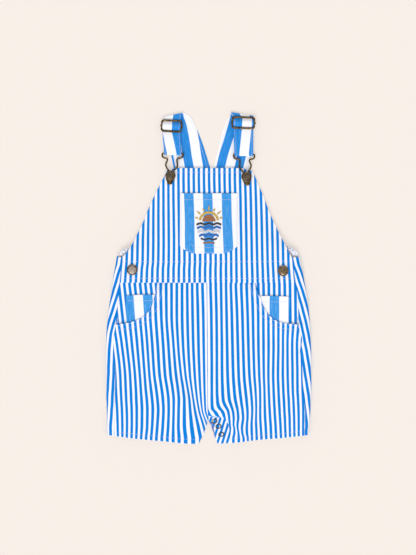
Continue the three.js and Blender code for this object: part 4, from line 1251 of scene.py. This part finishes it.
# Straps: a run on the floor from the back, a roll at the shoulder, the front run through the
# slider and the loop round the buckle's bar.
strapShape = {"returnHalf": 12.0, "roll": 1.45, "loop": 1.7, "underWire": 3.4}
slider = {
    "halfHeight": 7.6, "corner": 3.0, "rise": 1.6, "wire": 1.3,
    "bar": 0.85, "knob": 1.35, "knobLength": 2.6, "knobOut": 0.9,
}
buckle = {
    "bar": 31.5, "tip": -11.4, "overBib": 4.8, "wire": 1.15, "levelTo": 13, "levelFrom": 25,
    "halfWire": [  # across and up from the button, from the slot to the bar
        (2.9, -8.5), (2.9, -2), (2.9, 4.5), (4.1, 8), (7, 11.5), (8.2, 15.5), (7.2, 19.5),
        (6.6, 22), (7.6, 24.4), (11, 25.1), (13.7, 26.6), (14.6, 29.8), (13.4, 31.5), (7, 31.5),
    ],
    "plate": [
        (-6.2, 1), (-6.3, -3), (-5.3, -6.6), (-3.4, -9.6), (-1.2, -12), (0, -12.5),
        (1.2, -12), (3.4, -9.6), (5.3, -6.6), (6.3, -3), (6.2, 1), (0, 3.4),
    ],
    "plateThick": 0.9, "plateEdge": 0.35, "plateDrop": 0.2,
}


def strapStations(side):
    stations = []
    run = side["backRun"]
    for y in spread(run["y"][0], run["y"][-1]):
        row = [float(along(run, y, "y", key)) for key in ("left", "right", "z", "stripe")]
        share = (row[3] - row[0]) / (row[1] - row[0])
        stations.append((np.array([row[0], y, row[2]]), np.array([row[1], y, row[2]]), share))
    (ax, ay), (bx, by) = side["roll"]["left"], side["roll"]["right"]
    a, b = np.array([ax, ay, 0.5]), np.array([bx, by, 0.5])
    underEnd = np.array([*side["roll"]["under"], 0.5])
    bend = np.array([*side["roll"]["bend"], 0.5])
    crease = (b - a) / np.linalg.norm(b - a)
    away = np.array([-crease[1], crease[0], 0])
    width = 2 * side["strapHalf"]
    topShare = 0.5 + side["frontStripe"]["top"] / width
    footShare = 0.5 + side["frontStripe"]["foot"] / width
    stripeTop = ax + topShare * (bx - ax)
    setBack = away * (-strapShape["roll"] - 0.5)
    lastLeft, lastRight = stations[-1][0], stations[-1][1]
    leanOut = (run["stripe"][-1] - run["stripe"][-2]) / (run["y"][-1] - run["y"][-2])
    for t in np.linspace(0, 1, 7)[1:-1]:
        leftEnd = lastLeft + (a + setBack - lastLeft) * t
        rightEnd = lastRight * (1 - t) ** 2 + 2 * bend * t * (1 - t) + (underEnd + setBack) * t * t
        stripeX = row[3] + leanOut * ((leftEnd[1] + rightEnd[1]) / 2 - lastLeft[1])
        stations.append((leftEnd, rightEnd, (stripeX - leftEnd[0]) / (rightEnd[0] - leftEnd[0])))
    lastX = stripeX
    for angle in np.linspace(0, math.pi, 15):
        shift = away * (strapShape["roll"] * math.sin(angle) - strapShape["roll"] - 0.5)
        shift = shift + np.array([0, 0, strapShape["roll"] * (1 - math.cos(angle))])
        rightEnd = underEnd + (b - underEnd) * ease(angle / math.pi)
        stripeX = lastX + (stripeTop - lastX) * ease(angle / math.pi)
        share = (stripeX - a[0]) / (rightEnd[0] - a[0])
        stations.append((a + shift, rightEnd + shift, share))
    centre, turn = side["slider"]["at"], side["slider"]["turn"]
    overBar = heights["bar"] + strapShape["loop"] + cloth["wall"] + cloth["gap"]

    def across(at, turned, half, up, z, share):
        ends = [placed(at, turned, sign * half, up, z) for sign in (-1, 1)]
        stations.append((ends[0], ends[1], share))

    for up in np.linspace(slider["halfHeight"], -slider["halfHeight"], 17):
        rise = (1 + math.cos(math.pi * up / slider["halfHeight"])) / 2
        z = strapShape["underWire"] + (overBar - strapShape["underWire"]) * rise
        across(centre, turn, side["strapHalf"], up, z, topShare)
    bar = placed(side["bibButton"], side["buckleTurn"], 0, buckle["bar"], heights["bar"])
    foot = placed(centre, turn, 0, -slider["halfHeight"], strapShape["underWire"])
    top = bar + np.array([0, 0, strapShape["loop"]])
    for t in np.linspace(0, 1, 26)[1:-1]:
        at = foot + (top - foot) * t
        half = side["strapHalf"] + (side["loopHalf"] - side["strapHalf"]) * t
        puff = 0.5 * math.sin(math.pi * t) ** 2
        share = topShare + (footShare - topShare) * t
        across(at, turn + (side["barTurn"] - turn) * t, half, 0, at[2] + puff, share)
    for angle in np.linspace(0, math.pi, 13):
        z = heights["bar"] + strapShape["loop"] * math.cos(angle)
        half = side["loopHalf"] + (strapShape["returnHalf"] - side["loopHalf"]) * angle / math.pi
        across(bar, side["barTurn"], half, -strapShape["loop"] * math.sin(angle), z, footShare)
    low = bar - np.array([0, 0, strapShape["loop"]])
    under = np.array([centre[0], centre[1], heights["bar"] - strapShape["loop"]])
    for t in np.linspace(0, 1, 16)[1:-1]:
        at = low + (under - low) * t
        turned = side["barTurn"] + (turn - side["barTurn"]) * t
        across(at, turned, strapShape["returnHalf"], 0, at[2], topShare)
    for angle in np.linspace(0, 1.36 * math.pi, 15):
        z = heights["bar"] - strapShape["loop"] * math.cos(angle)
        across(centre, turn, strapShape["returnHalf"], strapShape["loop"] * math.sin(angle), z, topShare)
    return stations


for side in sides:
    stations = strapStations(side)
    t = (spread(0, 24) / 24)[None, :, None]
    leftEnds = np.array([s[0] for s in stations])[:, None]
    rightEnds = np.array([s[1] for s in stations])[:, None]
    middle = leftEnds + (rightEnds - leftEnds) * t
    run = lengthsAlong(middle[:, middle.shape[1] // 2])[:, None]
    shares = np.array([s[2] for s in stations])[:, None]
    width = np.linalg.norm(rightEnds - leftEnds, axis=2)
    grain = np.stack([(t[..., 0] - shares) * width, run + 0 * t[..., 0]], axis=-1)
    grid = wallGrid(middle, grain, False)
    piece = shellObject("strap_" + side["name"], [grid], [finishes["strap"]])
    normal = np.cross(np.gradient(middle, axis=1), np.gradient(middle, axis=0))
    normal /= np.linalg.norm(normal, axis=2, keepdims=True)
    backCount = len(spread(side["backRun"]["y"][0], side["backRun"]["y"][-1]))
    for rows, sign in ((slice(6, backCount + 2), 1), (slice(backCount + 6, backCount + 74), -1)):
        for column in (2, -3):
            seam = middle[rows, column] + sign * cloth["half"] * normal[rows, column]
            threadRuns["straps"] += stitchGrids(seam, sign * normal[rows, column])
    addPiece(piece, "stripe_wide", "strap_" + side["name"])
print("straps made")


# Hardware. Wires are bent from a smooth run of points.
def bentWire(name, run, radius, material, shut=False):
    curve = bpy.data.curves.new(name, "CURVE")
    curve.dimensions = "3D"
    curve.bevel_depth = radius * mm
    curve.bevel_resolution = 4
    curve.use_fill_caps = True
    line = curve.splines.new("POLY")
    line.points.add(len(run) - 1)
    line.use_cyclic_u = shut
    for point, place in zip(line.points, run):
        point.co = (*((place + originShift) * mm), 1)
    placeAlone(name, curve)
    bpy.ops.object.convert(target="MESH")
    made = bpy.context.object
    made.data.materials.clear()
    made.data.materials.append(material)
    bpy.ops.object.shade_smooth_by_angle(angle=math.radians(50))
    return made


def smoothRun(knots, step):
    knots = np.array(knots, float)
    doubled = np.concatenate([[2 * knots[0] - knots[1]], knots, [2 * knots[-1] - knots[-2]]])
    run = []
    for a, b, c, d in zip(doubled[:-3], doubled[1:-2], doubled[2:-1], doubled[3:]):
        for t in np.linspace(0, 1, max(2, int(np.linalg.norm(c - b) / step)), endpoint=False):
            run.append(0.5 * (2 * b + (c - a) * t + (2 * a - 5 * b + 4 * c - d) * t * t
                              + (3 * b - a - 3 * c + d) * t ** 3))
    run.append(knots[-1])
    return np.array(run)


def joinPieces(name, pieces):
    bpy.ops.object.select_all(action="DESELECT")
    for piece in pieces:
        piece.select_set(True)
    bpy.context.view_layer.objects.active = pieces[0]
    if len(pieces) > 1:
        bpy.ops.object.join()
    joined = bpy.context.object
    joined.name = name
    return joined


def roundBar(name, start, end, radius, bevel, material):
    middle = (start + end) / 2 + originShift
    length = float(np.linalg.norm(end - start))
    bpy.ops.mesh.primitive_cylinder_add(
        vertices=20, radius=radius * mm, depth=length * mm, location=tuple(middle * mm),
    )
    made = bpy.context.object
    made.name = name
    made.rotation_euler = Vector(end - start).to_track_quat("Z", "Y").to_euler()
    bpy.ops.object.transform_apply(location=True, rotation=True, scale=True)
    if bevel:
        roundEdges(made, bevel)
    made.data.materials.append(material)
    bpy.ops.object.shade_smooth_by_angle(angle=math.radians(40))
    return made


# The pressed plate at the foot of the buckle, which the button's head sits on.
def slotPlate(side):
    z = buckle["overBib"] - buckle["plateDrop"]
    corners = [
        (placed(side["bibButton"], side["buckleTurn"], across, up, z) + originShift) * mm
        for across, up in buckle["plate"]
    ]
    mesh = bpy.data.meshes.new("slotPlate")
    mesh.from_pydata([tuple(c) for c in corners], [], [tuple(range(len(corners)))])
    made = placeAlone("slotPlate_" + side["name"], mesh)
    bpy.ops.object.mode_set(mode="EDIT")
    bpy.ops.mesh.select_all(action="SELECT")
    bpy.ops.mesh.normals_make_consistent(inside=False)
    bpy.ops.mesh.extrude_region_move(TRANSFORM_OT_translate={"value": (0, 0, buckle["plateThick"] * mm)})
    bpy.ops.mesh.select_all(action="SELECT")
    bpy.ops.mesh.normals_make_consistent(inside=False)
    bpy.ops.object.mode_set(mode="OBJECT")
    roundEdges(made, buckle["plateEdge"])
    mesh.materials.append(finishes["wire"])
    bpy.ops.object.shade_smooth_by_angle(angle=math.radians(40))
    return made


for side in sides:
    name = side["name"]
    centre, turn = side["slider"]["at"], side["slider"]["turn"]
    halfWidth, halfHeight, corner = side["slider"]["halfWidth"], slider["halfHeight"], slider["corner"]
    outline = [(halfWidth, 0.15), (halfWidth, 2.6)]
    for signX, signY, start in ((1, 1, 0), (-1, 1, 90), (-1, -1, 180), (1, -1, 270)):
        if start == 180:
            outline += [(-halfWidth, 2.6), (-halfWidth, 0), (-halfWidth, -2.6)]
        for k in range(7):
            angle = math.radians(start + 15 * k)
            outline.append((
                signX * (halfWidth - corner) + corner * math.cos(angle),
                signY * (halfHeight - corner) + corner * math.sin(angle),
            ))
    outline += [(halfWidth, -2.6), (halfWidth, -0.15)]
    wire = []
    for across, up in outline:
        rise = slider["rise"] * ease(abs(up) / (halfHeight - corner))
        wire.append(placed(centre, turn, across, up, heights["bar"] + rise))
    frameWire = bentWire("sliderWire_" + name, wire, slider["wire"], finishes["wire"])
    barEnds = [placed(centre, turn, sign * halfWidth, 0, heights["bar"]) for sign in (-1, 1)]
    pieces = [frameWire, roundBar("sliderBar_" + name, *barEnds, slider["bar"], 0, finishes["wire"])]
    for sign in (-1, 1):
        knobAt = sign * (halfWidth + slider["knobOut"])
        knobEnds = [
            placed(centre, turn, knobAt + half * slider["knobLength"], 0, heights["bar"])
            for half in (-0.5, 0.5)
        ]
        pieces.append(roundBar("sliderKnob_" + name, *knobEnds, slider["knob"], 0.35, finishes["wire"]))
    piece = joinPieces("slider_" + name, pieces)
    addPiece(piece, "aged_brass", "slider_" + name)

    halfWire, tip = buckle["halfWire"], buckle["tip"] + 0.5
    outline = [(0.2, buckle["bar"])] + halfWire[::-1] + [(1.6, tip), (-1.6, tip)]
    outline += [(-across, up) for across, up in halfWire] + [(-0.2, buckle["bar"])]
    wire = []
    lean = math.tan(math.radians(side["barTurn"] - side["buckleTurn"]))
    for across, up in outline:
        up = up + across * lean * ease((up - 15) / 10)  # the shoulders are bent level
        fall = ease((up - buckle["levelTo"]) / (buckle["levelFrom"] - buckle["levelTo"]))
        z = buckle["overBib"] + (heights["bar"] - buckle["overBib"]) * fall
        wire.append(placed(side["bibButton"], side["buckleTurn"], across, up, z))
    piece = bentWire("buckle_" + name, smoothRun(wire, 0.5), buckle["wire"], finishes["wire"])
    plate = slotPlate(side)
    piece = joinPieces("buckle_" + name, [piece, plate])
    addPiece(piece, "aged_brass", "buckle_" + name)
print("sliders and buckles made")

# Tack buttons: a plain domed head in a raised rim, on a shank. The head is turned in edit mode.
button = {
    "radius": 7.2, "shankRadius": 1.6, "bibShank": 2.1, "sideShank": 0.8,
    "head": 1.2, "rimFrom": 5.4, "sideWider": 1.04, "underRim": 0.7,
    "steps": (  # inset and lift of each ring of the face, from the rim inwards
        (0.35, 0.2), (0.4, 0.1), (0.4, -0.1), (0.3, -0.45), (0.35, -0.05), (0.35, 0.3),
        (0.5, 0.22), (0.9, 0.16), (1.1, 0.1), (1.1, 0.05),
    ),
}


def faceUp(made, least=0.99, up=1):
    bpy.ops.object.mode_set(mode="OBJECT")
    for face in made.data.polygons:
        face.select = face.normal.z * up > least and len(face.vertices) > 8
    bpy.ops.object.mode_set(mode="EDIT")


bpy.ops.mesh.primitive_cylinder_add(vertices=48, radius=button["radius"] * mm, depth=button["head"] * mm)
headPattern = bpy.context.object
bpy.ops.object.mode_set(mode="EDIT")
bpy.ops.mesh.select_mode(type="FACE")
faceUp(headPattern)
for amount, lift in button["steps"]:
    bpy.ops.mesh.inset(thickness=amount * mm, use_even_offset=True)
    bpy.ops.transform.translate(value=(0, 0, lift * mm))
faceUp(headPattern, up=-1)
bpy.ops.mesh.inset(thickness=button["underRim"] * mm)
bpy.ops.transform.translate(value=(0, 0, -0.1 * mm))
bpy.ops.mesh.inset(thickness=(button["radius"] - button["underRim"] - button["shankRadius"]) * mm)
bpy.ops.mesh.extrude_region_move(TRANSFORM_OT_translate={"value": (0, 0, -0.5 * mm)})
bpy.ops.object.mode_set(mode="OBJECT")
roundEdges(headPattern, 0.18, 35)
bpy.ops.object.shade_smooth_by_angle(angle=math.radians(45))
lowest = min(v.co.z for v in headPattern.data.vertices)


def tackButton(name, node, place, clothTop, shank, tilt, finish, rimFinish=None, wider=1.0):
    mesh = headPattern.data.copy()
    mesh.name = name
    bottom = shank + button["head"] / 2 + 0.05
    for vertex in mesh.vertices:
        vertex.co.x *= wider
        vertex.co.y *= wider
        if vertex.co.z < lowest * 0.9:
            vertex.co.z = -bottom * mm
    made = bpy.data.objects.new(name, mesh)
    bpy.context.scene.collection.objects.link(made)
    mesh.materials.clear()
    mesh.materials.append(finish)
    z = clothTop + cloth["gap"] + shank + button["head"] / 2
    turned = Vector((0, 0, 1)).rotation_difference(Vector((*tilt, 1)).normalized()).to_matrix()
    offset = Vector(tuple((np.array([place[0], place[1], z]) + originShift) * mm))
    if rimFinish:
        mesh.materials.append(rimFinish)
        for face in mesh.polygons:
            face.material_index = int(math.hypot(face.center.x, face.center.y) > button["rimFrom"] * mm)
    for vertex in mesh.vertices:
        vertex.co = turned @ vertex.co + offset
    mesh.update()
    addPiece(made, "aged_brass", node)
    return made


for side in sides:
    name = side["name"]
    x, y = side["bibButton"]
    top = float(bibUnder(np.array(x), np.array(y))) + cloth["wall"]
    tackButton("bibButton_" + name, "bib_button_" + name, (x, y), top, button["bibShank"],
               (side["out"] * 0.03, -0.04), finishes["buttonDark"])
    # The left side button gets the paler brass, whose lightness is a painted reflection; the right one
    # keeps its own gold brass.
    finish = finishes["buttonPaintedReflection"] if side is left else finishes["buttonGold"]
    tackButton("sideButton_" + name, "side_button_" + name, side["sideButton"],
               heights["bibWaist"] + cloth["wall"], button["sideShank"], (0.02, 0.02), finish,
               finishes["buttonRim"], button["sideWider"])
bpy.data.objects.remove(headPattern)
print("buttons made")

# Snap rings on the placket
snap = {
    "at": [(7.9, -201.4), (13.5, -208.4), (17.5, -219.5)],
    "radius": 3.65, "wire": 0.62, "lift": -0.1, "oval": 0.76,
}
for number, (x, y) in enumerate(snap["at"]):
    under = lambda dx, dy: float(placketUnder(np.array(x + dx), np.array(y + dy)))
    slope = ((under(2, 0) - under(-2, 0)) / 4, (under(0, 2) - under(0, -2)) / 4)
    normal = Vector((-slope[0], -slope[1], 1)).normalized()
    middle = np.array([x, y, under(0, 0) + cloth["wall"]])
    middle = middle + (snap["lift"] + snap["wire"]) * np.array(normal)
    place = tuple((middle + originShift) * mm)
    turned = normal.to_track_quat("Z", "Y").to_euler()
    bpy.ops.mesh.primitive_torus_add(
        major_radius=snap["radius"] * mm, minor_radius=snap["wire"] * mm, major_segments=40,
        minor_segments=12, location=place, rotation=turned,
    )
    ring = bpy.context.object
    ring.scale.x = snap["oval"]
    bpy.ops.object.transform_apply(location=True, rotation=True, scale=True)
    ring.name = "snapRing_" + str(number + 1)
    ring.data.materials.append(finishes["snap"])
    bpy.ops.object.shade_smooth()
    addPiece(ring, "aged_brass", "snap_ring_" + str(number + 1))
print("snap rings made")

# Embroidered sun over waves on the bib pocket, in raised satin strips.
badge = {"centre": (0.1, 74.5), "half": 0.2, "lift": 0.12}
badgeColours = {
    "tan": (0.5, 0.19, 0.06),
    "gold": (0.86, 0.57, 0.1),
    "navy": (0.03, 0.03, 0.055),
    "blue": (0.02, 0.2, 0.68),
    "white": (0.88, 0.89, 0.93),
}


def satinGrid(x, y, grain, layer=0):
    px, py = x + badge["centre"][0], y + badge["centre"][1]
    z = pocketMiddle(px, py) + cloth["half"] + badge["half"] + badge["lift"] + 0.3 * layer
    return wallGrid(np.stack([px, py, z], axis=-1), grain, False, half=badge["half"])


# A strip along a curved run, with its threads laid across it.
def satinStrip(run, width, layer=0):
    run = np.array(run, float)
    tangent = np.gradient(run, axis=0)
    tangent /= np.linalg.norm(tangent, axis=1, keepdims=True)
    normal = np.stack([-tangent[:, 1], tangent[:, 0]], axis=1)
    t = np.linspace(1, -1, 7)[:, None, None]
    halfWidth = np.broadcast_to(np.array(width, float) / 2, len(run))[None, :, None]
    place = run[None] + normal[None] * t * halfWidth
    length = lengthsAlong(run)
    grain = np.stack([t[..., 0] * halfWidth[..., 0], length[None] + 0 * t[..., 0]], axis=-1)
    return satinGrid(place[::-1, :, 0], place[::-1, :, 1], grain[::-1], layer)


def disc(centre, radius, half=False, layer=0):
    u = np.linspace(-1, 1, 25)[None, :]
    v = np.linspace(0.0 if half else -1, 1, 25)[:, None]
    x = centre[0] + radius * u * np.sqrt(1 - v * v / 2)
    y = centre[1] + radius * v * np.sqrt(1 - u * u / 2)
    return satinGrid(x, y, np.stack([x - centre[0], y - centre[1]], axis=-1), layer)


def wave(y, halfLength, rise, count):
    x = np.linspace(-halfLength, halfLength, 80)
    return np.stack([x, y + rise * np.cos(x / halfLength * math.pi * count)], axis=1)


sunCentre = (0, 4)
arcAngles = np.linspace(0.04 * math.pi, 0.96 * math.pi, 40)


def arc(radius):
    return np.stack([
        sunCentre[0] - radius * np.cos(arcAngles),
        sunCentre[1] + radius * np.sin(arcAngles),
    ], axis=1)


rays = []
for number, angle in enumerate(np.linspace(0.09, 0.91, 7) * math.pi):
    reach = 22.4 if number % 2 else 20.2
    far = np.linspace(15.9, reach, 14)
    ray = np.stack([sunCentre[0] - far * math.cos(angle), sunCentre[1] + far * math.sin(angle)], axis=1)
    rays.append(satinStrip(ray, np.interp(far, [15.9, 17.2, reach], [1.6, 3.0, 0.8])))
badgeParts = {
    "tan": [disc(sunCentre, 9.4, half=True), satinStrip(wave(-25.8, 8, 0.5, 1), 2.2)],
    "gold": [satinStrip(arc(12.7), 3.4)] + rays,
    "navy": [satinStrip(wave(0.6, 17.5, 0.9, 3), 2.8), satinStrip(wave(-20.8, 11.6, 0.8, 2), 2.4)],
    "blue": [satinStrip(wave(-4.4, 16.8, 0.9, 3), 3.2), satinStrip(wave(-15.4, 13.8, 0.9, 3), 3.2)],
    "white": [satinStrip(wave(-9.9, 15.6, 0.9, 3), 3.6)],
}
for name, grids in badgeParts.items():
    # The embroidery's ply grooves are darkened to 0.66 of the colour: painted shade.
    finish = threadFinish("embroidery_" + name, badgeColours[name], 0.55, 0.00025, 0.66)
    piece = shellObject("embroidery_" + name, grids, [finish])
    addPiece(piece, "stripe_wide")
print("embroidery made")

# Stitches
for name, tubes in threadRuns.items():
    if tubes:
        slot = "stripe_wide" if name == "pockets" else "stripe_narrow"
        finish = finishes["overlock" if name == "overlock" else "thread"]
        addPiece(tubesObject("stitches_" + name, tubes, finish), slot)
print("stitches made")
